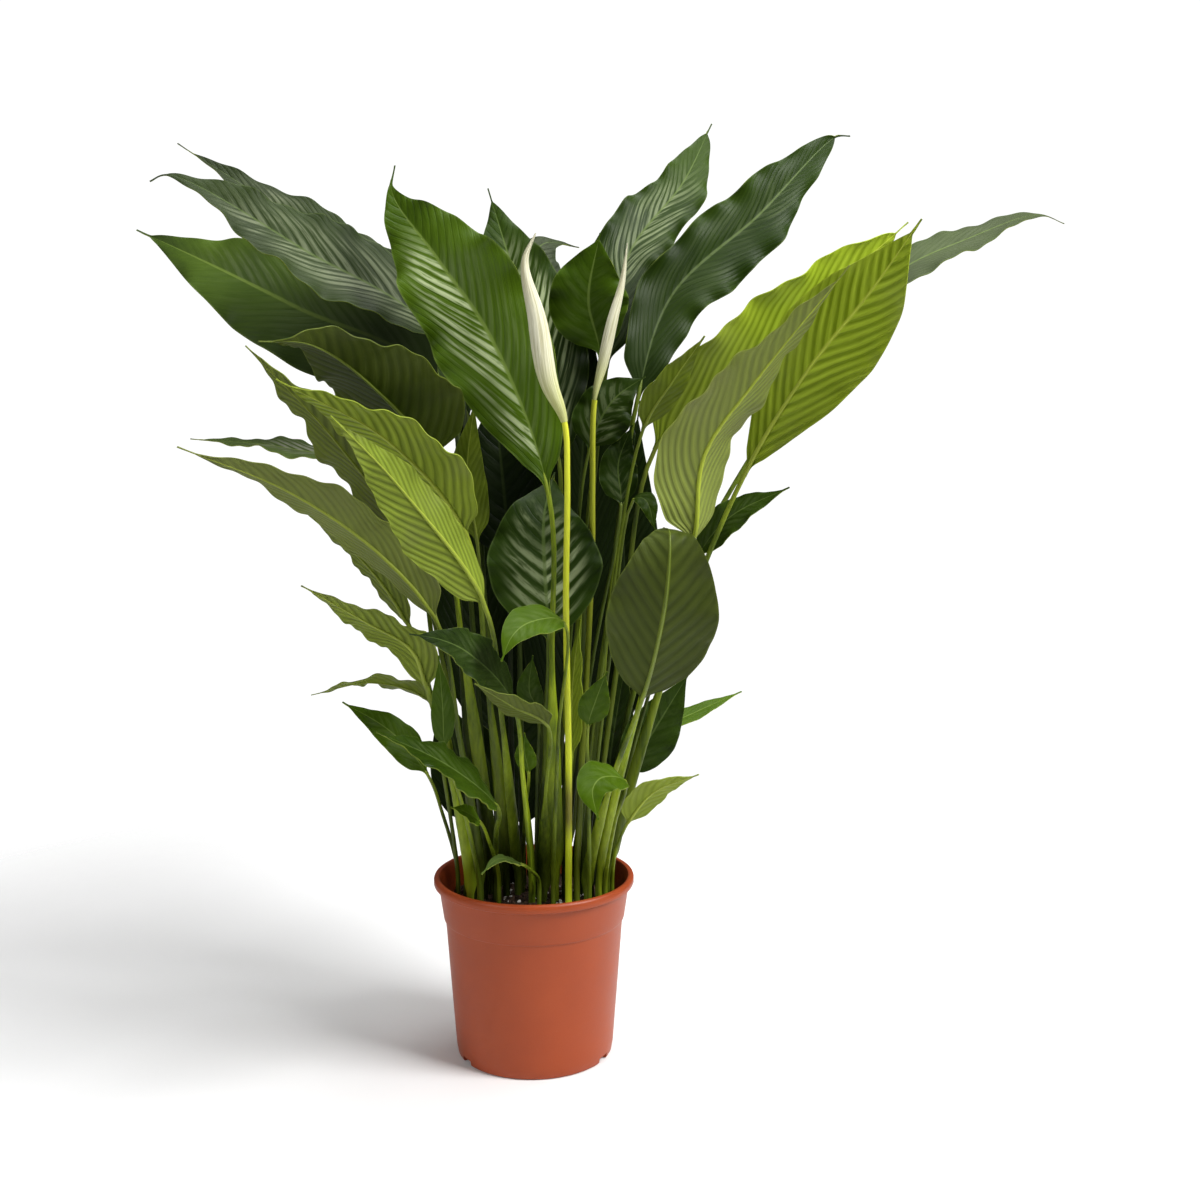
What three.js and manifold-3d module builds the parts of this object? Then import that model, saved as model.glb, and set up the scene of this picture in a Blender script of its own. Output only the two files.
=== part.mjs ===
// A potted peace lily: a plastic nursery pot filled with potting mix, a dense clump of long-stalked leaves
// that stand in plain holes in the mix, and two flower stalks, each with a spathe that is still furled.
// Millimetres, +Z up. The origin is the centre of the pot's underside, and the side seen first faces -Y.
import * as THREE from "three";
import { mergeVertices } from "three/addons/utils/BufferGeometryUtils.js";
import Module from "manifold-3d";

const wasm = await Module();
wasm.setup();

// ---- driving dimensions ----

// The pot: a tapered tub with a rolled rim, a small step in its wall and a notched foot.
const RIM_RADIUS = 85;
const POT_HEIGHT = 155;
const FOOT_RADIUS = 66;
const WALL = 1.8;
const LIP_HEIGHT = 7.5;
const LIP_BULGE = 0.3; // the rim is widest this much beyond its lower edge
const UNDER_LIP_RADIUS = 81;
const BAND_DROP = 29; // from the lip's underside down to the small step in the wall
const BAND_RADIUS = 77;
const BAND_STEP = 1.5;
const FOOT_FLARE = 1.5; // the foot widens by this much up to FOOT_TOP
const FOOT_TOP = 8;
const FOOT_RING_WIDTH = 5;
const FLOOR_THICKNESS = 2.5;
const CENTRE_PAD_RADIUS = 48; // the middle of the floor comes down level with the foot
const CHANNEL_HEIGHT = 5; // the floor is raised this much between the pad and the foot
const NOTCH_WIDTH = 13;
const NOTCH_DEPTH = 12;
const NOTCH_HEIGHT = 4.8;
const NOTCH_ANGLES = [-30, 90, 210];
const POT_SEGMENTS = 36;

// The potting mix, and the plain holes the stalks stand in.
const SOIL_TOP = 131;
const SOIL_RINGS = [62, 42, 21];
const SOIL_SEGMENTS = 20;
const LUMP_HEIGHT = 2.2;
const LUMP_LENGTH_X = 9;
const LUMP_LENGTH_Y = 11;
const LUMP_LENGTH_CROSS = 5.5;
const HOLE_SIDES = 6;
const HOLE_CUT = 40; // the tool that cuts a hole is this long
const HOLE_CLEARANCE = 0.5;
const GAP = 0.3; // left between pieces that touch

// The stalks.
const ROOT_DEPTH = 14; // how far a stalk stands in the mix
const COLLAR_HEIGHT = 3; // a stalk is upright and straight up to here above the mix
const RISE_HEIGHT = 24; // and leans away from here
const BOW_LIFT = 0.08; // a stalk bows upward by this share of its height
const LARGE_STALK = { foot: 3.6, neck: 1.9 };
const SMALL_STALK = { foot: 2.6, neck: 1.3 };
const FLOWER_STALK_RADIUS = 2.8;

// The blades.
const BLADE_EDGE = 0.8; // thickness at the margin
const BLADE_MIDDLE = 0.9;
const RIB_DEPTH = 2.2; // how far the midrib stands out below, near the stalk
const RIB_GROOVE = 0.35; // and how far it is let in on top, as a share of that
const DRIP_HALF_WIDTH = 0.8;
const TIP_NARROWING = 0.35;
const WAVES_PER_BLADE = 3.6;
const WAVE_SHIFT_PER_LEAF = 0.37; // so that no two margins wave alike
const WAVE_SHIFT_ACROSS = 1.3; // radians between a blade's two margins
const FACE_STATION = 0.4; // where along the blade its facing is measured
const LARGE_BLADE = {
  columns: 5,
  flatBy: 0.09, // the round stalk has turned into a flat blade by this share
  wave: 3.5,
  rib: RIB_DEPTH,
  stations: [0, 0.05, 0.13, 0.24, 0.36, 0.48, 0.6, 0.72, 0.83, 0.93, 1],
};
const SMALL_BLADE = {
  columns: 3,
  flatBy: 0.15,
  wave: 1.5,
  rib: RIB_DEPTH / 2,
  stations: [0, 0.07, 0.2, 0.38, 0.58, 0.78, 0.92, 1],
};
const STALK_STATIONS = [0, 0.07, 0.15, 0.42, 0.7];
const SHEATH_SPREAD = [0, 0, 1, 0.75, 0]; // at each of these, as a share of the sheath's width

// The furled spathes.
const BLOOM_SIDES = 8;
const SPATHE_FLATNESS = 0.85;
const FLOWER_STALK_TAPER = [1, 1, 0.97, 0.92, 0.88, 0.84, 0.8, 0.78];
const SPATHE_TAPER = [0.35, 0.62, 0.84, 0.97, 1, 0.94, 0.8, 0.62, 0.42, 0.24, 0.1];

const CURVE_SAMPLES = 24; // per span, when a curve's length is measured

const FINISHES = {
  pot: { color: 0xb0542f, roughness: 0.55 },
  soil: { color: 0x2e2119, roughness: 0.95 },
  leaf: { color: 0x1f4d1c, roughness: 0.4 },
  stalk: { color: 0x9dbb35, roughness: 0.5 },
  spathe: { color: 0xf1ecd9, roughness: 0.6 },
};

// Each leaf has
//   root   where its stalk enters the mix
//   rib    the points its midrib passes: the stalk's end, the blade's middle and tip, and one more for a tip
//          that hooks over
//   width  the blade's width
//   face   the direction its upper side looks, near mid length
// and, where it differs from the rest of the clump,
//   fold   how far each half folds up from the midrib, in degrees
//   peak   where the blade is widest: below 0.78 nearer the stalk, above it nearer the tip
//   blunt  how bluntly the blade starts and ends: below 0.85 its ends are rounder
//   via    a point its stalk passes on the way up
//   sheath how wide the sheath makes its stalk, low down
//   small  a young leaf, with a thinner stalk and a plainer blade
const USUAL_FOLD = 14;
const USUAL_PEAK = 0.78;
const USUAL_BLUNTNESS = 0.85;
const ARCH = 0.15; // each half arches back down by this share of its width
const DRIP = 0.05; // the share of a blade's length that is its thin drip tip
const LEAVES = {
  leaf_01: {
    root: [-40, 40],
    rib: [[-72, 76, 602], [-197, 122, 706], [-316, 160, 785]],
    width: 74,
    face: [1, -2, 3],
    fold: 25,
  },
  leaf_02: {
    root: [-52, 6],
    rib: [[-75, 20, 602], [-184, 0, 676], [-285, -10, 731], [-298, -15, 725]],
    width: 92,
    face: [1, -3, 3],
    fold: 20,
    sheath: 10,
  },
  leaf_03: {
    root: [-50, 24],
    rib: [[-77, 46, 570], [-199, 60, 634], [-280, 90, 674], [-345, 120, 704]],
    width: 106,
    face: [0, -3, 1],
    sheath: 12,
  },
  leaf_04: {
    root: [-28, 46],
    rib: [[-55, 80, 539], [-107, 150, 636], [-158, 220, 704]],
    width: 80,
    face: [1, -2, 3],
    sheath: 14,
  },
  leaf_05: {
    root: [-38, 22],
    rib: [[-78, -60, 507], [-117, -130, 566], [-152, -175, 592], [-181, -215, 592]],
    width: 100,
    face: [3, 9, 3],
    fold: 25,
    peak: 0.62,
    sheath: 15,
  },
  leaf_06: {
    root: [-43, 6],
    rib: [[-98, -20, 436], [-154, -45, 524], [-214, -85, 595]],
    width: 86,
    face: [1, 1, 1],
  },
  leaf_07: {
    root: [-24, 14],
    rib: [[-51, -70, 450], [-104, -125, 524], [-175, -185, 568]],
    width: 70,
    face: [1, 3, 3],
    sheath: 13,
  },
  leaf_08: {
    root: [-14, 12],
    rib: [[-36, -110, 399], [-91, -180, 491], [-131, -240, 543]],
    width: 56,
    face: [-4, 9, -3],
    fold: 28,
    sheath: 14,
  },
  leaf_09: {
    root: [-58, 14],
    rib: [[-111, 30, 487], [-204, 40, 515], [-291, 60, 523]],
    width: 50,
    face: [0, -1, 4],
  },
  leaf_10: {
    root: [-46, -10],
    rib: [[-76, -60, 381], [-116, -75, 435], [-181, -110, 487], [-252, -150, 521]],
    width: 60,
    face: [4, 8, 4],
    fold: 28,
    peak: 0.7,
    sheath: 11,
  },
  leaf_11: {
    root: [-54, -6],
    rib: [[-102, -2, 368], [-134, -10, 420], [-180, -20, 463]],
    width: 40,
    face: [0, 1, 3],
  },
  leaf_12: {
    root: [-54, -16],
    rib: [[-84, -60, 326], [-94, -80, 362], [-126, -115, 390], [-167, -150, 421]],
    width: 44,
    face: [0, 2, 3],
    sheath: 11,
  },
  leaf_13: {
    root: [-65, 0],
    rib: [[-85, -30, 311], [-128, -50, 331], [-176, -60, 323]],
    width: 50,
    face: [0, 1, 3],
    small: true,
  },
  leaf_14: {
    root: [-66, 14],
    rib: [[-88, -20, 247], [-117, -20, 283], [-158, -10, 307]],
    width: 32,
    face: [0, -1, 1],
    small: true,
  },
  leaf_15: {
    root: [-33, 2],
    rib: [[-29, -85, 237], [-65, -130, 282], [-113, -170, 317]],
    width: 48,
    face: [1, -1, 2],
  },
  leaf_16: {
    root: [-2, -14],
    rib: [[-15, -76, 316], [-47, -138, 368], [-67, -164, 383], [-87, -184, 390]],
    width: 46,
    face: [1, -3, 2],
    sheath: 17,
  },
  leaf_17: {
    root: [8, -8],
    rib: [[12, -80, 299], [-16, -120, 325], [-43, -150, 348]],
    width: 28,
    face: [0, 1, 1],
    sheath: 13,
    small: true,
  },
  leaf_18: {
    root: [16, -18],
    rib: [[24, -105, 386], [-2, -130, 390], [-15, -145, 382], [-23, -155, 365]],
    width: 36,
    face: [0, -1, 1],
    small: true,
  },
  leaf_19: {
    root: [8, 8],
    rib: [[13, -37, 361], [10, -30, 420], [10, -19, 462], [19, 6, 496]],
    width: 98,
    face: [0, -1, 0],
    peak: 0.9,
    sheath: 13,
  },
  leaf_20: {
    root: [18, -6],
    rib: [[13, -70, 482], [-30, -60, 601], [-71, -45, 662], [-111, 5, 722], [-109, 12, 743]],
    width: 98,
    face: [0, -1, 0],
    peak: 1.05,
    sheath: 15,
  },
  leaf_21: {
    root: [8, 28],
    rib: [[24, 30, 497], [-1, 80, 616], [-38, 150, 746]],
    width: 98,
    face: [0, -1, 0],
    peak: 1.0,
    sheath: 15,
  },
  leaf_22: {
    root: [-10, 40],
    rib: [[-14, 70, 545], [-8, 130, 650], [12, 175, 700], [46, 200, 700]],
    width: 94,
    face: [0, -1, 0],
  },
  leaf_23: {
    root: [26, 10],
    rib: [[57, 10, 590], [47, 0, 636], [56, -10, 688]],
    width: 70,
    face: [0, -1, 0],
    peak: 1,
    sheath: 12,
    small: true,
  },
  leaf_24: {
    root: [28, 24],
    rib: [[63, 30, 582], [86, 88, 682], [138, 140, 751], [169, 185, 811]],
    width: 64,
    face: [0, -1, 0],
    peak: 1.1,
    blunt: 0.6,
    sheath: 14,
  },
  leaf_25: {
    root: [42, 10],
    rib: [[88, 10, 556], [119, 40, 643], [198, 80, 715], [272, 120, 788], [286, 125, 790]],
    width: 70,
    face: [0, -1, 0],
    fold: 20,
    peak: 0.95,
    blunt: 0.5,
    sheath: 13,
  },
  leaf_26: {
    root: [48, -8],
    rib: [[100, -20, 515], [148, -28, 562], [200, -35, 610], [298, -40, 694]],
    width: 86,
    face: [0, 1, 1],
    peak: 0.82,
    blunt: 0.55,
  },
  leaf_27: {
    root: [62, -8],
    rib: [[167, -60, 495], [211, -95, 578], [248, -130, 632], [277, -160, 681]],
    width: 84,
    face: [2, 9, -1],
    peak: 1.25,
    sheath: 12,
  },
  leaf_28: {
    root: [55, -13],
    rib: [[121, -110, 445], [127, -130, 514], [160, -155, 567], [214, -215, 643]],
    width: 74,
    face: [-6, 9, 4],
    fold: 28,
    peak: 0.62,
    sheath: 10,
  },
  leaf_29: {
    root: [62, 26],
    rib: [[271, 80, 621], [327, 95, 670], [390, 115, 699], [464, 135, 724], [489, 140, 717]],
    width: 52,
    face: [0, -1, 2],
    via: [96, 38, 330],
  },
  leaf_30: {
    root: [60, 4],
    rib: [[136, -10, 425], [162, -20, 460], [209, -30, 485]],
    width: 34,
    face: [0, -1, 1],
    small: true,
  },
  leaf_31: {
    root: [45, -16],
    rib: [[84, -95, 322], [93, -125, 368], [99, -145, 416], [101, -142, 455], [100, -105, 458]],
    width: 90,
    face: [0, 1, 0],
    peak: 0.95,
    sheath: 11,
  },
  leaf_32: {
    root: [62, 13],
    rib: [[80, 14, 236], [104, 16, 275], [134, 18, 324]],
    width: 48,
    face: [0, -1, 0],
  },
  leaf_33: {
    root: [44, 50],
    rib: [[100, 46, 262], [146, 66, 280], [190, 92, 293]],
    width: 21,
    face: [0, -1, 2],
    small: true,
  },
  leaf_34: {
    root: [66, -16],
    rib: [[77, -34, 206], [98, -50, 238], [133, -65, 256]],
    width: 34,
    face: [0, 1, 1],
    via: [68, -24, 178],
    small: true,
  },
  leaf_35: {
    root: [60, -22],
    rib: [[72, -92, 258], [52, -112, 266], [45, -122, 259], [49, -130, 238]],
    width: 38,
    face: [0, -1, 1],
    small: true,
  },
  leaf_36: {
    root: [-30, -6],
    rib: [[-43, -75, 222], [-53, -90, 234], [-64, -100, 241]],
    width: 18,
    face: [0, -1, 1],
    small: true,
  },
  leaf_37: {
    root: [4, -24],
    rib: [[-10, -74, 186], [-28, -94, 197], [-41, -106, 189]],
    width: 12,
    face: [0, -1, 2],
    small: true,
  },
  leaf_38: {
    root: [-30, 34],
    rib: [[-44, -34, 440], [-51, -46, 500], [-44, -48, 555]],
    width: 32,
    face: [0, 1, 0],
    small: true,
  },
  leaf_39: {
    root: [45, 1],
    rib: [[80, -60, 477], [89, -70, 477], [96, -75, 454]],
    width: 16,
    face: [0, -1, 1],
    small: true,
  },
  leaf_40: {
    root: [17, 8],
    rib: [[47, -8, 514], [66, -6, 554], [94, 0, 575]],
    width: 50,
    face: [0, -4, 1],
    small: true,
  },
  leaf_41: {
    root: [36, -4],
    rib: [[88, -48, 531], [110, -68, 570], [132, -86, 603]],
    width: 30,
    face: [0, 1, 1],
    small: true,
  },
  leaf_42: {
    root: [26, 0],
    rib: [[73, -14, 469], [71, -10, 504], [83, -4, 535]],
    width: 34,
    face: [0, -1, 0],
    small: true,
  },
  leaf_43: {
    root: [-10, 24],
    rib: [[-4, -40, 253], [-7, -50, 272], [-7, -60, 290]],
    width: 18,
    face: [0, -1, 0],
    small: true,
  },
  leaf_44: {
    root: [-46, -24],
    rib: [[-70, -68, 280], [-71, -78, 316], [-73, -86, 358]],
    width: 20,
    face: [0, -1, 0],
    small: true,
  },
  leaf_45: {
    root: [2, -3],
    rib: [[4, -20, 299], [-3, -25, 318], [0, -30, 348]],
    width: 22,
    face: [0, -1, 0],
    small: true,
  },
  leaf_46: {
    root: [28, -9],
    rib: [[32, -21, 260], [33, -27, 321], [39, -32, 378]],
    width: 24,
    face: [1, 1, 0],
    small: true,
  },
  leaf_47: {
    root: [46, -30],
    rib: [[44, -60, 295], [50, -70, 319], [58, -80, 343]],
    width: 26,
    face: [0, -1, 0],
    small: true,
  },
  leaf_48: {
    root: [-22, 58],
    rib: [[-34, 88, 250], [-50, 114, 400], [-62, 142, 560]],
    width: 94,
    face: [0.2, -1, 0.3],
  },
  leaf_49: {
    root: [14, 52],
    rib: [[22, 64, 250], [40, 84, 440], [54, 104, 640]],
    width: 94,
    face: [0, -1, 0.3],
  },
  leaf_50: {
    root: [37, 58],
    rib: [[54, 88, 236], [76, 112, 390], [100, 142, 556]],
    width: 96,
    face: [-0.2, -1, 0.3],
  },
  leaf_51: {
    root: [-4, 68],
    rib: [[-8, 92, 168], [-12, 112, 250], [-10, 136, 330]],
    width: 88,
    face: [0, -1, 0.3],
  },
  leaf_52: {
    root: [-43, 54],
    rib: [[-58, 66, 180], [-68, 72, 240], [-84, 80, 300]],
    width: 56,
    face: [0.2, -1, 0.3],
  },
  leaf_53: {
    root: [53, 42],
    rib: [[62, 58, 180], [70, 64, 250], [84, 76, 330]],
    width: 48,
    face: [-0.2, -1, 0.3],
  },
  leaf_54: {
    root: [-19, 44],
    rib: [[-20, 46, 420], [-25, 50, 490], [-33, 55, 566]],
    width: 84,
    face: [0.1, -1, 0.2],
  },
};

// Each flower stalk, with the points it passes, and the points and width of the spathe it carries.
const BLOOMS = {
  1: {
    root: [29, -20],
    stalk: [[29, -34, 250], [26, -85, 401], [27, -93, 496], [25, -95, 538]],
    spathe: [[13, -96, 569], [5, -95, 614], [-4, -92, 657], [4, -90, 678]],
    width: 17,
  },
  2: {
    root: [36, -15],
    stalk: [[40, -22, 250], [49, -18, 430], [49, -28, 490], [50, -45, 555]],
    spathe: [[57, -45, 585], [64, -45, 616], [72, -42, 647], [76, -40, 677]],
    width: 10,
  },
};

// ---- geometry helpers ----

const vector = (values) => new THREE.Vector3(...values);
const radians = THREE.MathUtils.degToRad;
const mix = THREE.MathUtils.lerp;

// A closed manifold solid from any three.js geometry, its shared vertices merged.
function solidFrom(geometry) {
  const bare = new THREE.BufferGeometry();
  bare.setAttribute("position", geometry.getAttribute("position"));
  bare.setIndex(geometry.getIndex());
  const merged = mergeVertices(bare, 1e-3);
  return new wasm.Manifold(
    new wasm.Mesh({
      numProp: 3,
      vertProperties: merged.attributes.position.array,
      triVerts: new Uint32Array(merged.index.array),
    }),
  );
}

function geometryFrom(solid) {
  const mesh = solid.getMesh();
  const geometry = new THREE.BufferGeometry();
  geometry.setAttribute("position", new THREE.BufferAttribute(mesh.vertProperties, 3));
  geometry.setIndex(new THREE.BufferAttribute(mesh.triVerts, 1));
  return geometry;
}

// One body lofted through rings of the same number of points, capped at both ends. Each ring runs over the
// top from left to right and back underneath, and top and underside are split along the same diagonals.
function loft(rings) {
  const count = rings[0].length;
  const columns = count / 2;
  const positions = rings.flat().flatMap((p) => [p.x, p.y, p.z]);
  const faces = [];
  const at = (ring, k) => ring * count + (k % count);
  for (let i = 0; i + 1 < rings.length; i++) {
    for (let k = 0; k < count; k++) {
      const [a, b, c, d] = [at(i, k), at(i, k + 1), at(i + 1, k + 1), at(i + 1, k)];
      const underneath = k >= columns && k < count - 1;
      faces.push(...(underneath ? [a, b, d, b, c, d] : [a, b, c, a, c, d]));
    }
  }
  const last = rings.length - 1;
  for (let j = 0; j + 1 < columns; j++) {
    const [a, b, c, d] = [j, j + 1, count - 2 - j, count - 1 - j];
    faces.push(at(0, a), at(0, d), at(0, c), at(0, a), at(0, c), at(0, b));
    faces.push(at(last, a), at(last, b), at(last, c), at(last, a), at(last, c), at(last, d));
  }
  const geometry = new THREE.BufferGeometry();
  geometry.setAttribute("position", new THREE.Float32BufferAttribute(positions, 3));
  geometry.setIndex(faces);
  return geometry;
}

function namedMesh(name, geometry, finish) {
  const flat = geometry.toNonIndexed();
  flat.computeVertexNormals();
  const mesh = new THREE.Mesh(flat, new THREE.MeshStandardMaterial({ ...finish, metalness: 0 }));
  mesh.name = name;
  return mesh;
}

// ---- pot and soil ----

const LIP_BOTTOM = POT_HEIGHT - LIP_HEIGHT;
const BAND_BOTTOM = LIP_BOTTOM - BAND_DROP;
const FLOOR_TOP = CHANNEL_HEIGHT + FLOOR_THICKNESS;
const WALL_FOOT = { radius: FOOT_RADIUS + FOOT_FLARE - WALL, z: FLOOR_TOP };
const WALL_STEP = { radius: BAND_RADIUS - WALL - 1, z: BAND_BOTTOM - 3 };

function potProfile() {
  return [
    [0, 0],
    [CENTRE_PAD_RADIUS, 0],
    [CENTRE_PAD_RADIUS + 2, CHANNEL_HEIGHT],
    [FOOT_RADIUS - FOOT_RING_WIDTH, CHANNEL_HEIGHT],
    [FOOT_RADIUS - FOOT_RING_WIDTH + 2, 0],
    [FOOT_RADIUS, 0],
    [FOOT_RADIUS + FOOT_FLARE, FOOT_TOP],
    [BAND_RADIUS - BAND_STEP, BAND_BOTTOM - 2],
    [BAND_RADIUS, BAND_BOTTOM],
    [UNDER_LIP_RADIUS, LIP_BOTTOM],
    [RIM_RADIUS, LIP_BOTTOM + 0.6],
    [RIM_RADIUS + LIP_BULGE, POT_HEIGHT - 2.4],
    [RIM_RADIUS - 1.3, POT_HEIGHT],
    [RIM_RADIUS - 4, POT_HEIGHT],
    [RIM_RADIUS - 5.2, POT_HEIGHT - 2],
    [UNDER_LIP_RADIUS - WALL - 0.5, LIP_BOTTOM - 2],
    [WALL_STEP.radius, WALL_STEP.z],
    [WALL_FOOT.radius, WALL_FOOT.z],
    [CENTRE_PAD_RADIUS + 0.5, FLOOR_TOP],
    [CENTRE_PAD_RADIUS - 1.5, FLOOR_THICKNESS],
    [0, FLOOR_THICKNESS],
  ];
}

function turned(profile, segments) {
  const points = profile.map(([r, z]) => new THREE.Vector2(r, z));
  return new THREE.LatheGeometry(points, segments).rotateX(Math.PI / 2);
}

function pot() {
  let body = solidFrom(turned(potProfile(), POT_SEGMENTS));
  for (const degrees of NOTCH_ANGLES) {
    const notch = new THREE.BoxGeometry(NOTCH_DEPTH, NOTCH_WIDTH, NOTCH_HEIGHT * 2);
    notch.translate(FOOT_RADIUS + 1, 0, 0).rotateZ(radians(degrees));
    body = body.subtract(solidFrom(notch));
  }
  return geometryFrom(body);
}

// The pot's inner radius at a height, less the gap, measured to the flats of its many sides.
function soilRadius(z) {
  const share = (z - WALL_FOOT.z) / (WALL_STEP.z - WALL_FOOT.z);
  const inner = mix(WALL_FOOT.radius, WALL_STEP.radius, share);
  return inner * Math.cos(Math.PI / POT_SEGMENTS) - GAP;
}

function soilLump(x, y) {
  const broad = Math.sin(x / LUMP_LENGTH_X + 1) * Math.sin(y / LUMP_LENGTH_Y - 0.5);
  return LUMP_HEIGHT * (broad + 0.5 * Math.sin((x - y) / LUMP_LENGTH_CROSS));
}

function soil() {
  const low = FLOOR_TOP + GAP;
  const shape = turned(
    [
      [0, low],
      [soilRadius(low), low],
      [soilRadius(WALL_STEP.z), WALL_STEP.z],
      [soilRadius(WALL_STEP.z) + 0.5, SOIL_TOP],
      ...SOIL_RINGS.map((radius) => [radius, SOIL_TOP]),
      [0, SOIL_TOP],
    ],
    SOIL_SEGMENTS,
  );
  const position = shape.getAttribute("position");
  for (let i = 0; i < position.count; i++) {
    const [x, y, z] = [position.getX(i), position.getY(i), position.getZ(i)];
    if (z > SOIL_TOP - 1 && Math.hypot(x, y) < SOIL_RINGS[0] + 1) {
      position.setZ(i, z + soilLump(x, y));
    }
  }
  let body = solidFrom(shape);
  for (const plant of [...Object.values(LEAVES), ...Object.values(BLOOMS)]) {
    const stalk = plant.stalk ? FLOWER_STALK_RADIUS : stalkRadius(plant, 0);
    const radius = (stalk + HOLE_CLEARANCE) / Math.cos(Math.PI / HOLE_SIDES);
    const hole = new THREE.CylinderGeometry(radius, radius, HOLE_CUT, HOLE_SIDES).rotateX(Math.PI / 2);
    hole.translate(plant.root[0], plant.root[1], SOIL_TOP - ROOT_DEPTH - GAP + HOLE_CUT / 2);
    body = body.subtract(solidFrom(hole));
  }
  return geometryFrom(body);
}

// ---- leaves ----

// A blade's half width at a share of its length, as a share of its widest. It is 0 at the stalk and at the
// drip tip.
function bladeOutline(leaf, share) {
  const { peak = USUAL_PEAK, blunt = USUAL_BLUNTNESS } = leaf;
  const s = Math.min(share / (1 - DRIP), 1);
  const bulge = Math.sin(Math.PI * Math.pow(s, peak));
  return Math.pow(bulge, blunt) * (1 - TIP_NARROWING * s ** 3);
}

function stalkRadius(leaf, share) {
  const { foot, neck } = leaf.small ? SMALL_STALK : LARGE_STALK;
  return mix(foot, neck, Math.sqrt(share));
}

// The start of every stalk: upright in the mix and just above it.
function uprightPoints([x, y]) {
  const heights = [SOIL_TOP - ROOT_DEPTH, SOIL_TOP + COLLAR_HEIGHT, SOIL_TOP + RISE_HEIGHT];
  return heights.map((z) => new THREE.Vector3(x, y, z));
}

// A curve through the points, and the share of its length at which it passes the one numbered `mark`.
function curveThrough(points, mark) {
  const curve = new THREE.CatmullRomCurve3(points, false, "centripetal");
  const lengths = curve.getLengths((points.length - 1) * CURVE_SAMPLES);
  return { curve, total: lengths.at(-1), markAt: lengths[mark * CURVE_SAMPLES] / lengths.at(-1) };
}

// A stalk's path and its blade's midrib are one curve, from below the mix to the tip.
function leafCurve(leaf) {
  const upright = uprightPoints(leaf.root);
  const rise = upright.at(-1);
  const rib = leaf.rib.map(vector);
  const bow = new THREE.Vector3().lerpVectors(rise, rib[0], 0.5);
  bow.z += BOW_LIFT * (rib[0].z - rise.z);
  const via = leaf.via ? vector(leaf.via) : bow;
  return curveThrough([...upright, via, ...rib], upright.length + 1);
}

// Each station's normal and across directions: the upper side looks along `face` at FACE_STATION, and the
// frame is carried from there to the tip and down the stalk without twisting.
function carryFrames(stations, face) {
  const middle = stations.findIndex((station) => station.blade >= FACE_STATION);
  const settle = (station, hint) => {
    station.normal = hint.clone().addScaledVector(station.tangent, -hint.dot(station.tangent)).normalize();
    station.across = new THREE.Vector3().crossVectors(station.tangent, station.normal);
  };
  settle(stations[middle], face);
  for (let i = middle + 1; i < stations.length; i++) {
    settle(stations[i], stations[i - 1].normal);
  }
  for (let i = middle - 1; i >= 0; i--) {
    settle(stations[i], stations[i + 1].normal);
  }
}

// One ring of a leaf: round on the stalk, and on the blade a thin folded and waved section with its midrib.
function leafRing(leaf, index, kind, station) {
  const { point, normal, across } = station;
  const { fold = USUAL_FOLD } = leaf;
  const share = station.blade ?? 0;
  const radius = stalkRadius(leaf, station.stalk ?? 1);
  const sheath = Math.max(radius, ((leaf.sheath ?? 0) / 2) * (station.spread ?? 0));
  const half = Math.max((leaf.width / 2) * bladeOutline(leaf, share), DRIP_HALF_WIDTH);
  const flatness = THREE.MathUtils.smoothstep(share, 0, kind.flatBy);
  const phase = 2 * Math.PI * (share * WAVES_PER_BLADE + WAVE_SHIFT_PER_LEAF * index);
  const place = (u, n) => point.clone().addScaledVector(across, u).addScaledVector(normal, n);
  const top = [];
  const underneath = [];
  for (let column = 0; column < kind.columns; column++) {
    const u = (2 * column) / (kind.columns - 1) - 1;
    const angle = Math.PI * (1 - (column + 0.5) / kind.columns);
    const margin = Math.sin(Math.PI * share) * u * u;
    const ripple = kind.wave * margin * Math.sin(phase + (u > 0 ? WAVE_SHIFT_ACROSS : 0));
    const lift = half * (Math.sin(radians(fold)) * Math.abs(u) - ARCH * u * u) + ripple;
    const rib = u === 0 ? kind.rib * (1 - share) : 0;
    const thickness = Math.abs(u) === 1 ? BLADE_EDGE : BLADE_MIDDLE;
    const sideways = mix(sheath * Math.cos(angle), half * Math.cos(radians(fold)) * u, flatness);
    const round = radius * Math.sin(angle);
    top.push(place(sideways, mix(round, lift - RIB_GROOVE * rib, flatness)));
    underneath.unshift(place(sideways, mix(-round, lift - thickness - rib, flatness)));
  }
  return [...top, ...underneath];
}

function leafGeometry(leaf, index) {
  const kind = leaf.small ? SMALL_BLADE : LARGE_BLADE;
  const { curve, markAt: bladeFoot } = leafCurve(leaf);
  const stations = [
    ...STALK_STATIONS.map((share, i) => {
      return { at: share * bladeFoot, stalk: share, spread: SHEATH_SPREAD[i] };
    }),
    ...kind.stations.map((share) => ({ at: mix(bladeFoot, 1, share), blade: share })),
  ];
  for (const station of stations) {
    station.point = curve.getPointAt(station.at);
    station.tangent = curve.getTangentAt(station.at);
  }
  carryFrames(stations, vector(leaf.face));
  return loft(stations.map((station) => leafRing(leaf, index, kind, station)));
}

// ---- flower stalks and furled spathes ----

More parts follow.
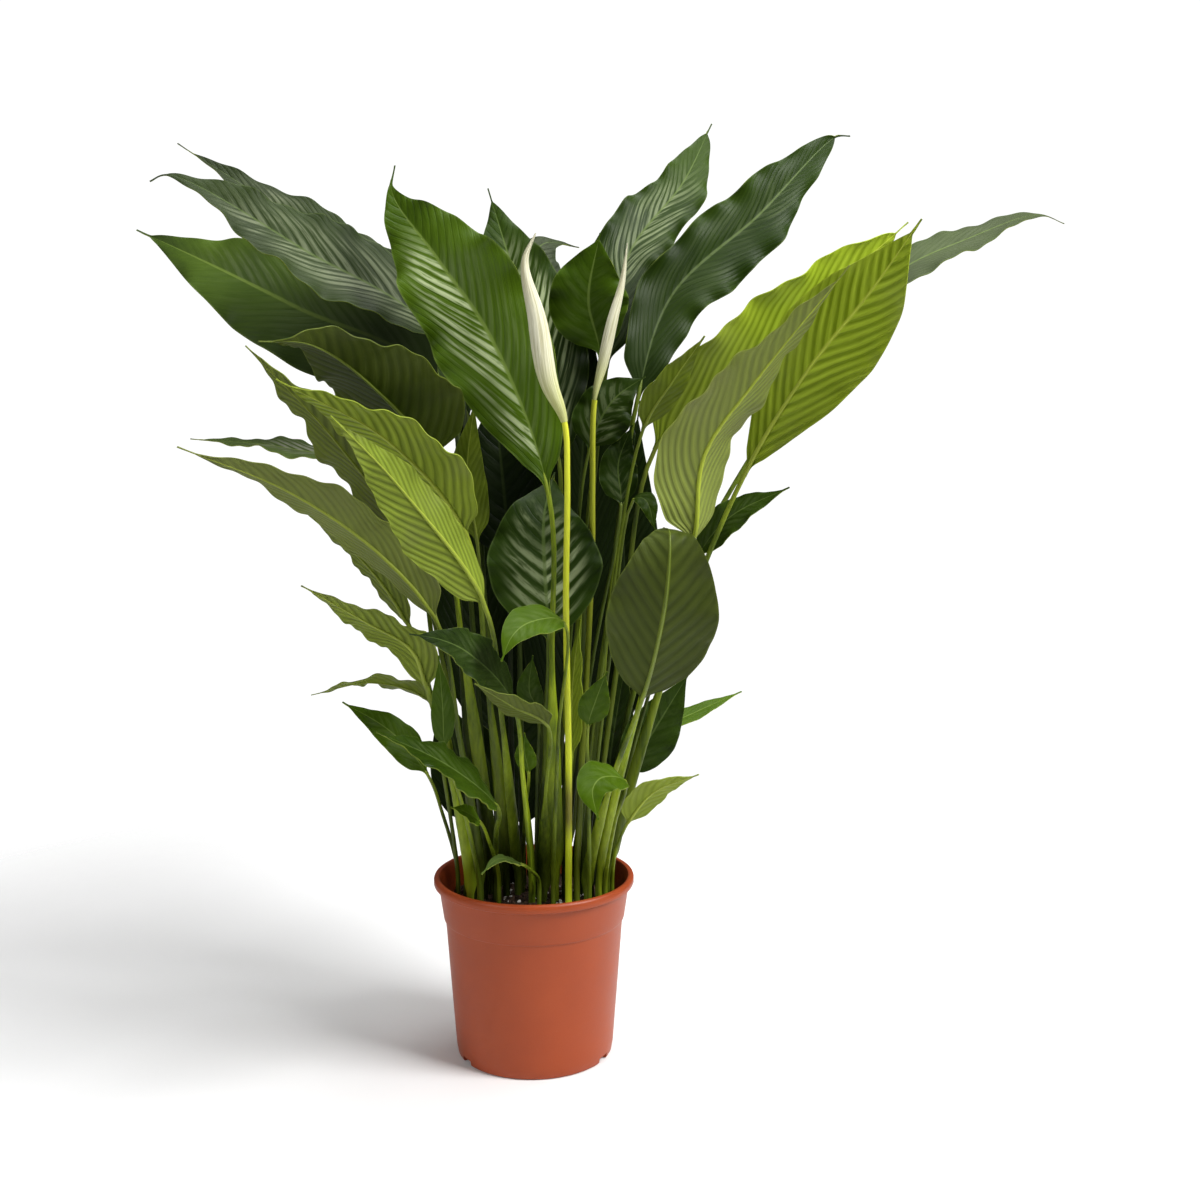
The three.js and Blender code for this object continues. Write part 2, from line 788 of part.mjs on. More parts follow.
// Rings along a curve between two shares of its length, with a radius for each.
function roundRings(curve, from, to, radii, flatness = 1) {
  const side = new THREE.Vector3(1, 0, 0);
  return radii.map((radius, i) => {
    const at = mix(from, to, i / (radii.length - 1));
    const point = curve.getPointAt(at);
    const tangent = curve.getTangentAt(at);
    const across = side.clone().addScaledVector(tangent, -side.dot(tangent)).normalize();
    const normal = new THREE.Vector3().crossVectors(across, tangent);
    return Array.from({ length: BLOOM_SIDES }, (_, k) => {
      const angle = Math.PI * (1 - (2 * k + 1) / BLOOM_SIDES);
      return point
        .clone()
        .addScaledVector(across, radius * Math.cos(angle))
        .addScaledVector(normal, radius * flatness * Math.sin(angle));
    });
  });
}

// A flower stalk and its furled spathe share one curve, and part by the gap at the spathe's foot.
function bloomGeometries(bloom) {
  const upright = uprightPoints(bloom.root);
  const stalk = bloom.stalk.map(vector);
  const spathe = bloom.spathe.map(vector);
  const points = [...upright, ...stalk, ...spathe];
  const { curve, total, markAt: top } = curveThrough(points, upright.length + stalk.length - 1);
  const stalkRadii = FLOWER_STALK_TAPER.map((share) => share * FLOWER_STALK_RADIUS);
  const spatheRadii = SPATHE_TAPER.map((share) => (share * bloom.width) / 2);
  return {
    stalk: loft(roundRings(curve, 0, top - GAP / total, stalkRadii)),
    spathe: loft(roundRings(curve, top, 1, spatheRadii, SPATHE_FLATNESS)),
  };
}

// ---- the plant in its pot ----

const lily = new THREE.Group();
lily.name = "potted_peace_lily";
lily.add(namedMesh("pot", pot(), FINISHES.pot));
lily.add(namedMesh("soil", soil(), FINISHES.soil));
Object.entries(LEAVES).forEach(([name, leaf], index) => {
  lily.add(namedMesh(name, leafGeometry(leaf, index), FINISHES.leaf));
});
for (const [number, bloom] of Object.entries(BLOOMS)) {
  const { stalk, spathe } = bloomGeometries(bloom);
  lily.add(namedMesh("flower_stalk_" + number, stalk, FINISHES.stalk));
  lily.add(namedMesh("spathe_" + number, spathe, FINISHES.spathe));
}

export default lily;
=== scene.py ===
# The potted peace lily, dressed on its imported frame: every leaf as a thin veined blade on its stalk, the two
# furled spathes, the moulded pot and the potting mix. Sizes are given in millimetres and built in metres.
import math
import random

import bpy
import numpy as np
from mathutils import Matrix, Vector, noise


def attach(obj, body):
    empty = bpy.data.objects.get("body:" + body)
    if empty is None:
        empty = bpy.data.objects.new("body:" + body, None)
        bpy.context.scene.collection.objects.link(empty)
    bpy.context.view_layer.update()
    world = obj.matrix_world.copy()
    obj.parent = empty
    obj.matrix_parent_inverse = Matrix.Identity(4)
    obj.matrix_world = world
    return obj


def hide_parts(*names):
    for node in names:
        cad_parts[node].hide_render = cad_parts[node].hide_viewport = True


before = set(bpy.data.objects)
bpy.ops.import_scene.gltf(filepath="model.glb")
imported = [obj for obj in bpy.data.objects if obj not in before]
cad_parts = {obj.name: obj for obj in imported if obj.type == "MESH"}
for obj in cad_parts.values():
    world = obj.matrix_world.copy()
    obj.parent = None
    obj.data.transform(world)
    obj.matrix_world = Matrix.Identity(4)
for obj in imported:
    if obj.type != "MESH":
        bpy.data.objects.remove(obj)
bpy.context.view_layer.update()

MM = 0.001

# ---- pot and potting mix: sizes ----

RIM_RADIUS = 85
POT_HEIGHT = 155
FOOT_RADIUS = 66
FOOT_FLARE = 1.5
FOOT_TOP = 8
WALL = 1.8
LIP_BOTTOM = 147.5
UNDER_LIP_RADIUS = 81
BAND_BOTTOM = 118.5
BAND_RADIUS = 77
PAD_RADIUS = 48
CHANNEL_HEIGHT = 5
FLOOR_THICKNESS = 2.5
FLOOR_TOP = CHANNEL_HEIGHT + FLOOR_THICKNESS
POT_SIDES = 144
POT_STEP = 6  # the longest step between two rings of its wall
NOTCH_ANGLES = (-30, 90, 210)
NOTCH_DEPTH = 12
NOTCH_WIDTH = 13
NOTCH_HEIGHT = 4.8
CENTRE = 0.001  # the radius at which a turned shape closes

SOIL_TOP = 131
MIX_RADIUS = 75
MIX_SIDES = 150
MIX_RINGS = 56
MIX_SIDE = ((74.6, 122), (73.8, 112), (64.5, 8.2), (CENTRE, 8.2))  # its side and underside: radius and height
MIX_LUMPS = ((34, 1.7, 2.6), (9, 5.1, 1.6), (3.2, 8.3, 0.9))  # for each kind its width, its start, its height
MIX_HEAP = 3
GRAIN_REACH = 71

# ---- stalks and blades: sizes ----

ROOT_DEPTH = 14
COLLAR_HEIGHT = 3
RISE_HEIGHT = 24
BOW_LIFT = 0.08  # how much higher than its middle a stalk is at its middle, as a share of its rise
SHEATH_SPREAD = (0.07, 0.15, 0.42, 0.7), (0, 1, 0.75, 0)  # shares of the stalk, and of the sheath's width
STALK_FLATNESS = 0.9

RIB_END = 0.97  # the share of the blade at which its midrib ends
RIB_NARROWEST = 0.16

BLADE_THICKNESS = 0.7
DRIP = 0.05  # the share of the blade that is its thin drip tip
DRIP_HALF_WIDTH = 0.7
TIP_NARROWING = 0.35
ARCH = 0.15
CREASE_SOFTNESS = 0.063  # how wide the fold is rounded at the midrib, as a share of the blade's half width
UNEVENNESS = ((1.6, 0.035), (4.6, 0.025))  # how often and how far a blade's margins stray from its outline
WAVE = 0.042  # how far the margins wave, as a share of the blade's width
WAVES_ALONG = 3.6
RUFFLES_A_WAVE = 2.7
PLEAT = 0.20  # how far the blade rises between two veins
VEIN_LEAN = (0.24, 0.09)  # how far a vein leans towards the tip, in proportion to its reach and to its square
VEINS_APART = 11  # by which the veins of two leaves differ in their numbers
STRAY_APART = 0.29  # by which the margins of two leaves are out of step
WAVE_APART = 0.37
STRAY_SHIFT = 2.0  # by which a blade's right margin is out of step with its left one, in radians
WAVE_SHIFT = 1.3
# Where the painted sheen on the upper side fades:
SHEEN_FADES = (0.45, 0.85)  # from the midrib to the margin
SHEEN_ENDS = (0.62, 0.85)  # along the blade
SHADE_CHANGES = (1.15, 1.7)  # along the leaf, whose blade runs from 1 to 2
BACK_TONE = 0.25  # the least tone of an underside that is turned away from the front

FLOWER_STALK_RADIUS = 2.8
FLOWER_STALK_TAPER = (0, 0.15, 1), (1, 1, 0.78)
SPATHE_BULGE = (0.33, 0.62, 0.84, 0.97, 1, 0.94, 0.8, 0.62, 0.42, 0.24, 0.06)  # from its foot to its tip
SPATHE_THICKNESS = 0.4
SPATHE_ROLL = 1.3  # how many times the spathe is rolled round its spike
SPATHE_EDGE = 1.2  # where its free edge starts, in radians
SPATHE_TWIST = 0.9  # how far the edge winds from foot to tip, in radians
SPATHE_TIGHTENING = 0.16
SPATHE_LIP = (0.10, 0.06)  # how far the free edge flares and how wide, as shares of the radius and the roll

# ---- how finely things are made ----

SAMPLES = 48
STALK_ROWS = 26
STALK_SIDES = 16
BLADE_ROWS = 144
BLADE_COLUMNS = 40
FLOWER_STALK_ROWS = 60
FLOWER_STALK_SIDES = 20
SPATHE_ROWS = 80
SPATHE_COLUMNS = 40

# ---- leaves ----

# Each leaf: root is where its stalk enters the mix, rib the points its midrib passes, via a point its stalk
# passes, width the blade's and sheath the stalk's widest near its foot. face is the way the upper side looks,
# fold how far the halves fold up in degrees, peak where the blade is widest (a larger number is nearer the
# tip), and blunt how pointed its ends are (a smaller number is blunter). small leaves are young and plainer.
# tone runs from 0, the dark old leaves, to 1, the young yellow-green ones, and stem does so for the stalk.
# grey is how dull the leaf is, shine how much painted sheen its left and right halves carry, relief how
# deep its veins are, and ruffled how uneven its margins are. shade is how much painted shade the clump puts on
# the side that looks to the front, first near the blade's foot and then near its tip.
LEAVES = {
    "01": dict(
        root=(-40, 40), rib=[(-72, 76, 602), (-197, 122, 706), (-316, 160, 785)],
        width=74, face=(1, -2, 3), fold=25, tone=0.04, grey=0.45, shine=(0.35, 0.45), shade=(0.3, 0.3)),
    "02": dict(
        root=(-52, 6), rib=[(-75, 20, 602), (-184, 0, 676), (-285, -10, 731), (-298, -15, 725)],
        width=92, face=(1, -3, 3), fold=20, sheath=10,
        tone=0.06, stem=0.1, grey=0.4, shine=(0.45, 0.35), shade=(0.35, 0.25)),
    "03": dict(
        root=(-50, 24), rib=[(-77, 46, 570), (-199, 60, 634), (-280, 90, 674), (-345, 120, 704)],
        width=106, face=(0, -3, 1), sheath=12,
        tone=0.38, grey=0.4, shine=(0.05, 0.12), relief=0.4, ruffled=0.8, shade=(0.9, 0)),
    "04": dict(
        root=(-28, 46), rib=[(-55, 80, 539), (-107, 150, 636), (-158, 220, 704)],
        width=80, face=(1, -2, 3), sheath=14, tone=0.05),
    "05": dict(
        root=(-38, 22), rib=[(-78, -60, 507), (-117, -130, 566), (-152, -175, 592), (-181, -215, 592)],
        width=100, face=(3, 9, 3), fold=25, peak=0.62, sheath=15,
        tone=0.08, stem=0.5, relief=0.5, ruffled=0.7),
    "06": dict(
        root=(-43, 6), rib=[(-98, -20, 436), (-154, -45, 524), (-214, -85, 595)],
        width=86, face=(1, 1, 1), tone=0.35, stem=0.2, grey=0.5, shade=(0.4, 0)),
    "07": dict(
        root=(-24, 14), rib=[(-51, -70, 450), (-104, -125, 524), (-175, -185, 568)],
        width=70, face=(1, 3, 3), sheath=13, tone=0.7, stem=0.3, grey=0.2),
    "08": dict(
        root=(-14, 12), rib=[(-36, -110, 399), (-91, -180, 491), (-131, -240, 543)],
        width=56, face=(-4, 9, -3), fold=28, sheath=14, tone=0.5, stem=0.35, grey=0.3, relief=0.8),
    "09": dict(
        root=(-58, 14), rib=[(-111, 30, 487), (-204, 40, 515), (-291, 60, 523)],
        width=50, face=(0, -1, 4), tone=0.6, grey=1.0, shine=(0.9, 0.9)),
    "10": dict(
        root=(-46, -10), rib=[(-76, -60, 381), (-116, -75, 435), (-181, -110, 487), (-252, -150, 521)],
        width=60, face=(4, 8, 4), fold=28, peak=0.7, sheath=11, tone=0.5, stem=0.15, grey=0.9, relief=0.7),
    "11": dict(
        root=(-54, -6), rib=[(-102, -2, 368), (-134, -10, 420), (-180, -20, 463)],
        width=40, face=(0, 1, 3), tone=0.3, stem=0.2, grey=0.3),
    "12": dict(
        root=(-54, -16), rib=[(-84, -60, 326), (-94, -80, 362), (-126, -115, 390), (-167, -150, 421)],
        width=44, face=(0, 2, 3), sheath=11, tone=0.4, stem=0.7, grey=0.3),
    "13": dict(
        root=(-65, 0), rib=[(-85, -30, 311), (-128, -50, 331), (-176, -60, 323)],
        width=50, face=(0, 1, 3), small=True, tone=0.25, shade=(0.2, 0)),
    "14": dict(
        root=(-66, 14), rib=[(-88, -20, 247), (-117, -20, 283), (-158, -10, 307)],
        width=32, face=(0, -1, 1), small=True, tone=0.4, shade=(0.2, 0)),
    "15": dict(
        root=(-33, 2), rib=[(-29, -85, 237), (-65, -130, 282), (-113, -170, 317)],
        width=48, face=(1, -1, 2), tone=0.12, stem=0.2, shine=(0, 0.1)),
    "16": dict(
        root=(-2, -14), rib=[(-15, -76, 316), (-47, -138, 368), (-67, -164, 383), (-87, -184, 390)],
        width=46, face=(1, -3, 2), sheath=17, tone=0.02, stem=0.85, grey=0.1),
    "17": dict(
        root=(8, -8), rib=[(12, -80, 299), (-16, -120, 325), (-43, -150, 348)],
        width=28, face=(0, 1, 1), sheath=13, small=True, tone=0.2, stem=0.3, grey=0.5),
    "18": dict(
        root=(16, -18), rib=[(24, -105, 386), (-2, -130, 390), (-15, -145, 382), (-23, -155, 365)],
        width=36, face=(0, -1, 1), small=True, tone=0.32, stem=0.4, ruffled=0.2),
    "19": dict(
        root=(8, 8), rib=[(13, -37, 361), (10, -30, 420), (10, -19, 462), (19, 6, 496)],
        width=98, face=(0, -1, 0), peak=0.9, sheath=13,
        tone=0.03, stem=0.25, shine=(0.5, 0.9), relief=0.5, ruffled=0.4, shade=(0, 0.2)),
    "20": dict(
        root=(18, -6), rib=[(13, -70, 482), (-30, -60, 601), (-71, -45, 662), (-111, 5, 722), (-109, 12, 743)],
        width=98, face=(0, -1, 0), peak=1.05, sheath=15, tone=0.3, stem=0.8, shine=(0.95, 0.1), ruffled=1.3),
    "21": dict(
        root=(8, 28), rib=[(24, 30, 497), (-1, 80, 616), (-38, 150, 746)],
        width=98, face=(0, -1, 0), peak=1.0, sheath=15,
        tone=0.08, stem=0.4, shine=(0.85, 0.95), shade=(0.5, 0)),
    "22": dict(
        root=(-10, 40), rib=[(-14, 70, 545), (-8, 130, 650), (12, 175, 700), (46, 200, 700)],
        width=94, face=(0, -1, 0), tone=0.05, grey=0.6, shine=(0.4, 0.4), shade=(0.2, 0)),
    "23": dict(
        root=(26, 10), rib=[(57, 10, 590), (47, 0, 636), (56, -10, 688)],
        width=70, face=(0, -1, 0), peak=1, sheath=12, small=True, tone=0.3, shade=(0.3, 0.1)),
    "24": dict(
        root=(28, 24), rib=[(63, 30, 582), (86, 88, 682), (138, 140, 751), (169, 185, 811)],
        width=64, face=(0, -1, 0), peak=1.1, blunt=0.6, sheath=14,
        tone=0.1, stem=0.3, shine=(0.4, 0.5), relief=0.7, ruffled=2.4, shade=(0.4, 0.1)),
    "25": dict(
        root=(42, 10), rib=[(88, 10, 556), (119, 40, 643), (198, 80, 715), (272, 120, 788), (286, 125, 790)],
        width=70, face=(0, -1, 0), fold=20, peak=0.95, blunt=0.5, sheath=13,
        tone=0.07, stem=0.3, shine=(0.1, 0.1), relief=0.7, ruffled=2.4, shade=(0.4, 0)),
    "26": dict(
        root=(48, -8), rib=[(100, -20, 515), (148, -28, 562), (200, -35, 610), (298, -40, 694)],
        width=86, face=(0, 1, 1), peak=0.82, blunt=0.55, tone=0.95, stem=0.5, relief=0.7, shade=(0.6, 0)),
    "27": dict(
        root=(62, -8), rib=[(167, -60, 495), (211, -95, 578), (248, -130, 632), (277, -160, 681)],
        width=84, face=(2, 9, -1), peak=1.25, sheath=12, tone=0.9, stem=0.8, ruffled=0.5, shade=(0.3, 0)),
    "28": dict(
        root=(55, -13), rib=[(121, -110, 445), (127, -130, 514), (160, -155, 567), (214, -215, 643)],
        width=74, face=(-6, 9, 4), fold=28, peak=0.62, sheath=10, tone=0.68, stem=0.9, grey=0.9),
    "29": dict(
        root=(62, 26), rib=[(271, 80, 621), (327, 95, 670), (390, 115, 699), (464, 135, 724), (489, 140, 717)],
        via=(96, 38, 330), width=52, face=(0, -1, 2), tone=0.15, grey=0.9, relief=0.5),
    "30": dict(
        root=(60, 4), rib=[(136, -10, 425), (162, -20, 460), (209, -30, 485)],
        width=34, face=(0, -1, 1), small=True, tone=0.15, shade=(0.3, 0.1)),
    "31": dict(
        root=(45, -16),
        rib=[(84, -95, 322), (93, -125, 368), (99, -145, 416), (101, -142, 455), (100, -105, 458)],
        width=90, face=(0, 1, 0), peak=0.95, sheath=11, tone=0.03, stem=0.5, relief=0.6, ruffled=0.4),
    "32": dict(
        root=(62, 13), rib=[(80, 14, 236), (104, 16, 275), (134, 18, 324)],
        width=48, face=(0, -1, 0), tone=0.04, ruffled=0.4, shade=(0.2, 0.2)),
    "33": dict(
        root=(44, 50), rib=[(100, 46, 262), (146, 66, 280), (190, 92, 293)],
        width=21, face=(0, -1, 2), small=True, tone=0.5, ruffled=0.3),
    "34": dict(
        root=(66, -16), rib=[(77, -34, 206), (98, -50, 238), (133, -65, 256)],
        via=(68, -24, 178), width=34, face=(0, 1, 1), small=True, tone=0.5, stem=0.5, grey=0.2, ruffled=0.3),
    "35": dict(
        root=(60, -22), rib=[(72, -92, 258), (52, -112, 266), (45, -122, 259), (49, -130, 238)],
        width=38, face=(0, -1, 1), small=True, tone=0.4, stem=0.35, ruffled=0.3),
    "36": dict(
        root=(-30, -6), rib=[(-43, -75, 222), (-53, -90, 234), (-64, -100, 241)],
        width=18, face=(0, -1, 1), small=True, tone=0.4, stem=0.5),
    "37": dict(
        root=(4, -24), rib=[(-10, -74, 186), (-28, -94, 197), (-41, -106, 189)],
        width=12, face=(0, -1, 2), small=True, tone=0.4, stem=0.3, grey=0.6),
    "38": dict(
        root=(-30, 34), rib=[(-44, -34, 440), (-51, -46, 500), (-44, -48, 555)],
        width=32, face=(0, 1, 0), small=True, tone=0.38, stem=0.2, shade=(0.3, 0.1)),
    "39": dict(
        root=(45, 1), rib=[(80, -60, 477), (89, -70, 477), (96, -75, 454)],
        width=16, face=(0, -1, 1), small=True, tone=0.2, shade=(0.3, 0.2)),
    "40": dict(
        root=(17, 8), rib=[(47, -8, 514), (66, -6, 554), (94, 0, 575)],
        width=50, face=(0, -4, 1), small=True, tone=0.08, shine=(0.2, 0.4), shade=(0.3, 0.2)),
    "41": dict(
        root=(36, -4), rib=[(88, -48, 531), (110, -68, 570), (132, -86, 603)],
        width=30, face=(0, 1, 1), small=True, tone=0.4, shade=(0.3, 0)),
    "42": dict(
        root=(26, 0), rib=[(73, -14, 469), (71, -10, 504), (83, -4, 535)],
        width=34, face=(0, -1, 0), small=True, tone=0.08, shine=(0.3, 0.5), shade=(0.3, 0.2)),
    "43": dict(
        root=(-10, 24), rib=[(-4, -40, 253), (-7, -50, 272), (-7, -60, 290)],
        width=18, face=(0, -1, 0), small=True, tone=0.5, stem=0.5),
    "44": dict(
        root=(-46, -24), rib=[(-70, -68, 280), (-71, -78, 316), (-73, -86, 358)],
        width=20, face=(0, -1, 0), small=True, tone=0.3, stem=0.3),
    "45": dict(
        root=(2, -3), rib=[(4, -20, 299), (-3, -25, 318), (0, -30, 348)],
        width=22, face=(0, -1, 0), small=True, tone=0.2, shade=(0.3, 0.2)),
    "46": dict(
        root=(28, -9), rib=[(32, -21, 260), (33, -27, 321), (39, -32, 378)],
        width=24, face=(1, 1, 0), small=True, tone=0.45, stem=0.6),
    "47": dict(
        root=(46, -30), rib=[(44, -60, 295), (50, -70, 319), (58, -80, 343)],
        width=26, face=(0, -1, 0), small=True, tone=0.35, stem=0.3),
    "48": dict(
        root=(-22, 58), rib=[(-34, 88, 250), (-50, 114, 400), (-62, 142, 560)],
        width=94, face=(0.2, -1, 0.3), tone=0.03, ruffled=0.2, shade=(0.8, 0.7)),
    "49": dict(
        root=(14, 52), rib=[(22, 64, 250), (40, 84, 440), (54, 104, 640)],
        width=94, face=(0, -1, 0.3), tone=0, ruffled=0.2, shade=(0.85, 0.7)),
    "50": dict(
        root=(37, 58), rib=[(54, 88, 236), (76, 112, 390), (100, 142, 556)],
        width=96, face=(-0.2, -1, 0.3), tone=0, ruffled=0.2, shade=(0.85, 0.7)),
    "51": dict(
        root=(-4, 68), rib=[(-8, 92, 168), (-12, 112, 250), (-10, 136, 330)],
        width=88, face=(0, -1, 0.3), tone=0.05, ruffled=0.2, shade=(0.8, 0.6)),
    "52": dict(
        root=(-43, 54), rib=[(-58, 66, 180), (-68, 72, 240), (-84, 80, 300)],
        width=56, face=(0.2, -1, 0.3), tone=0.05, ruffled=0.2, shade=(0.8, 0.6)),
    "53": dict(
        root=(53, 42), rib=[(62, 58, 180), (70, 64, 250), (84, 76, 330)],
        width=48, face=(-0.2, -1, 0.3), tone=0.05, ruffled=0.2, shade=(0.8, 0.6)),
    "54": dict(
        root=(-19, 44), rib=[(-20, 46, 420), (-25, 50, 490), (-33, 55, 566)],
        width=84, face=(0.1, -1, 0.2), tone=0, ruffled=0.2, shade=(0.85, 0.75)),
}

BLOOMS = {
    "1": dict(
        root=(29, -20), stalk=[(29, -34, 250), (26, -85, 401), (27, -93, 496), (25, -95, 538)],
        spathe=[(13, -96, 569), (5, -95, 614), (-4, -92, 657), (4, -90, 678)], width=17, shade=0),
    "2": dict(
        root=(36, -15), stalk=[(40, -22, 250), (49, -18, 430), (49, -28, 490), (50, -45, 555)],
        spathe=[(57, -45, 585), (64, -45, 616), (72, -42, 647), (76, -40, 677)], width=10, shade=0.9),
}


# ---- finishes ----

# Painted shade: leaves inside the clump are darkened towards this colour.
DEEP_SHADE = (0.002, 0.004, 0.001)  # the colour of a leaf deep inside the clump


class Value:
    """The output of a node, so that shader sums read like sums."""

    def __init__(self, finish, socket):
        self.finish = finish
        self.socket = socket

    def maths(self, operation, *others):
        return self.finish.node("ShaderNodeMath", {"operation": operation}, [self, *others])

    def __add__(self, other):
        return self.maths("ADD", other)

    def __sub__(self, other):
        return self.maths("SUBTRACT", other)

    def __rsub__(self, other):
        return self.finish.node("ShaderNodeMath", {"operation": "SUBTRACT"}, [other, self])

    def __mul__(self, other):
        return self.maths("MULTIPLY", other)

    def __pow__(self, other):
        return self.maths("POWER", other)

    def __abs__(self):
        return self.maths("ABSOLUTE")

    def sine(self):
        return self.maths("SINE")

    def step(self, low, high):
        """0 below low and 1 above high, with a smooth slope between them."""
        settings = {"interpolation_type": "SMOOTHSTEP", "clamp": True}
        return self.finish.node("ShaderNodeMapRange", settings, {0: self, 1: low, 2: high})


class Finish:
    """A material and its shader, whose own sockets take the numbers that are the same all over."""

    def __init__(self, name, **constants):
        self.material = bpy.data.materials.new(name)
        self.material.use_nodes = True
        self.tree = self.material.node_tree
        self.shader = self.tree.nodes["Principled BSDF"]
        for socket, value in constants.items():
            self.shader.inputs[socket.replace("_", " ")].default_value = value

    def node(self, kind, settings=None, inputs=None, output=0):
        """Adds a node: first its settings, then the values or links of its sockets."""
        made = self.tree.nodes.new(kind)
        for name, value in (settings or {}).items():
            setattr(made, name, value)
        pairs = enumerate(inputs) if isinstance(inputs, list) else (inputs or {}).items()
        for key, value in pairs:
            if isinstance(value, Value):
                self.tree.links.new(value.socket, made.inputs[key])
            else:
                made.inputs[key].default_value = value
        return Value(self, made.outputs[output])

    def attribute(self, name):
        return self.node("ShaderNodeAttribute", {"attribute_name": name}, output=2)

    def attributes(self, *names):
        return [self.attribute(name) for name in names]

    def place(self):
        return self.node("ShaderNodeTexCoord", output=3)

    def stretched(self, scale):
        """Object coordinates stretched by a scale for each axis."""
        return self.node("ShaderNodeMapping", None, {"Vector": self.place(), "Scale": scale})

    def noise(self, scale, detail=2.0, roughness=0.5, vector=None):
        inputs = {"Vector": vector or self.place(), "Scale": scale, "Detail": detail, "Roughness": roughness}
        return self.node("ShaderNodeTexNoise", None, inputs)

    def mix(self, factor, first, second):
        """One colour turning into another."""
        first, second = (colour if isinstance(colour, Value) else (*colour, 1) for colour in (first, second))
        return self.node("ShaderNodeMix", {"data_type": "RGBA"}, {0: factor, 6: first, 7: second}, output=2)

    def bump(self, height, distance):
        self.link("Normal", self.node("ShaderNodeBump", None, {"Height": height, "Distance": distance}))

    def link(self, socket, value):
        self.tree.links.new(value.socket, self.shader.inputs[socket])


def strokes(finish, scale):
    """Irregular streaks that run along the lateral veins."""
    vein, side = finish.attributes("vein", "side")
    return finish.noise(scale, 3.0, 0.6, finish.node("ShaderNodeCombineXYZ", None, [vein, side * 0.9]))


def shaded(finish, colour, side):
    """Darkens a colour deep inside the clump: side is 1 for an upper side and -1 for an underside."""
    return finish.mix(finish.attribute("shade") * side, colour, DEEP_SHADE)


def vein_height(finish):
    """0 on a lateral vein and 1 halfway between two, and how far the pleat between them slopes, 0 to 1."""
    wander = finish.noise(28.0) - 0.5
    turn = (finish.attribute("vein") + wander * 0.3) * math.pi
    return abs(turn.sine()), (turn * 2.0).sine() * 0.5 + 0.5


def upper_side():
    """The glossy upper side: dark green, quilted between sunken veins painted darker as shade, with a painted
    pale sheen on some leaves.
    """
    finish = Finish("leaf_upper", Specular_IOR_Level=0.09)
    tone, grey, shine, relief = finish.attributes("tone", "grey", "shine", "relief")
    reach = abs(finish.attribute("side"))
    pillow = vein_height(finish)[0]
    patch = finish.noise(9.0, 3.0).step(0.3, 0.7)
    lined = finish.noise(13.0).step(0.35, 0.65) * 0.8 + 0.2
    deep = finish.mix(tone, (0.006, 0.016, 0.001), (0.08, 0.17, 0.001))
    lit = finish.mix(tone, (0.03, 0.06, 0.005), (0.17, 0.3, 0.004))
    # Painted shade: the colour darkens towards the deep green along each sunken vein.
    furrow_shade = (pillow ** 0.5 - 1.0) * lined * 0.2 * relief
    broad, fine = strokes(finish, 1.3), strokes(finish, 4.5)
    body = finish.mix(furrow_shade + patch * 0.55 + (broad - 0.5) * 0.5 + (fine - 0.5) * 0.6 + 0.12, deep, lit)
    dull = finish.mix(grey * 0.4, body, (0.1, 0.105, 0.07))
    # Painted sheen: pale streaks between the veins where a leaf's shine is set, standing in for reflected
    # light.
    streaks = broad.step(0.36, 0.56) * fine.step(0.25, 0.5) * finish.noise(15.0).step(0.3, 0.55)
    painted_sheen = shine * pillow.step(0.3, 0.85) * streaks
    striped = finish.mix(painted_sheen, dull, finish.mix(grey, (0.4, 0.47, 0.25), (0.32, 0.33, 0.25)))
    rib = 1.0 - reach.step(0.015, 0.05)
    edge = reach.step(0.955, 0.995) * 0.45
    midrib = finish.mix(tone, (0.1, 0.15, 0.04), (0.3, 0.42, 0.06))
    finish.link("Base Color", shaded(finish, finish.mix(rib * 0.7 + edge, striped, midrib), 1.0))
    finish.link("Roughness", finish.noise(14.0) * 0.2 + grey * 0.15 + 0.3)
    finish.bump((pillow ** 0.4 * lined + fine * 0.7) * relief, 0.0005)
    return finish.material


def under_side():
    """The matte underside: paler and more yellow, with raised veins, whose pleats are painted lighter on one
    flank and darker on the other as light and shade.
    """
    finish = Finish("leaf_under", Specular_IOR_Level=0.12)
    tone, grey, relief = finish.attributes("pale", "grey", "relief")
    reach = abs(finish.attribute("side"))
    pillow, slope = vein_height(finish)
    patch = finish.noise(9.0, 3.0).step(0.3, 0.7)
    cloud = finish.noise(23.0, 3.0).step(0.45, 0.75)
    # Painted light and shade: each pleat is lighter on one flank and darker on the other, fixed to the surface
    # and strongest near the midrib.
    pleat = (slope - 0.5) * (1.0 - reach.step(0.5, 1.0) * 0.7) * relief
    deep = finish.mix(tone, (0.018, 0.028, 0.002), (0.2, 0.29, 0.003))
    lit = finish.mix(tone, (0.056, 0.076, 0.012), (0.5, 0.66, 0.04))
    broad, fine = strokes(finish, 1.1), strokes(finish, 3.5)
    ribbed = pleat * (broad.step(0.25, 0.65) * 0.8 + 0.25) + (fine - 0.5) * 0.5
    body = finish.mix(ribbed + patch * 0.5 + 0.25, deep, lit)
    veined = finish.mix((1.0 - pillow.step(0.05, 0.35)) * relief * 0.35, body, lit)
    mealy = finish.mix(tone, (0.06, 0.068, 0.03), (0.3, 0.32, 0.13))
    dull = finish.mix(grey * 0.6 + cloud * reach * 0.3, veined, mealy)
    rib = 1.0 - reach.step(0.015, 0.055)
    edge = reach.step(0.955, 0.995) * 0.2
    midrib = finish.mix(tone, (0.2, 0.26, 0.03), (0.62, 0.72, 0.07))
    finish.link("Base Color", shaded(finish, finish.mix(rib * 0.8 + edge, dull, midrib), -1.0))
    finish.link("Roughness", finish.noise(20.0) * 0.15 + 0.46)
    finish.bump((slope * 0.8 - pillow ** 0.6 * 0.4 + fine * 0.6) * relief, 0.0009)
    return finish.material


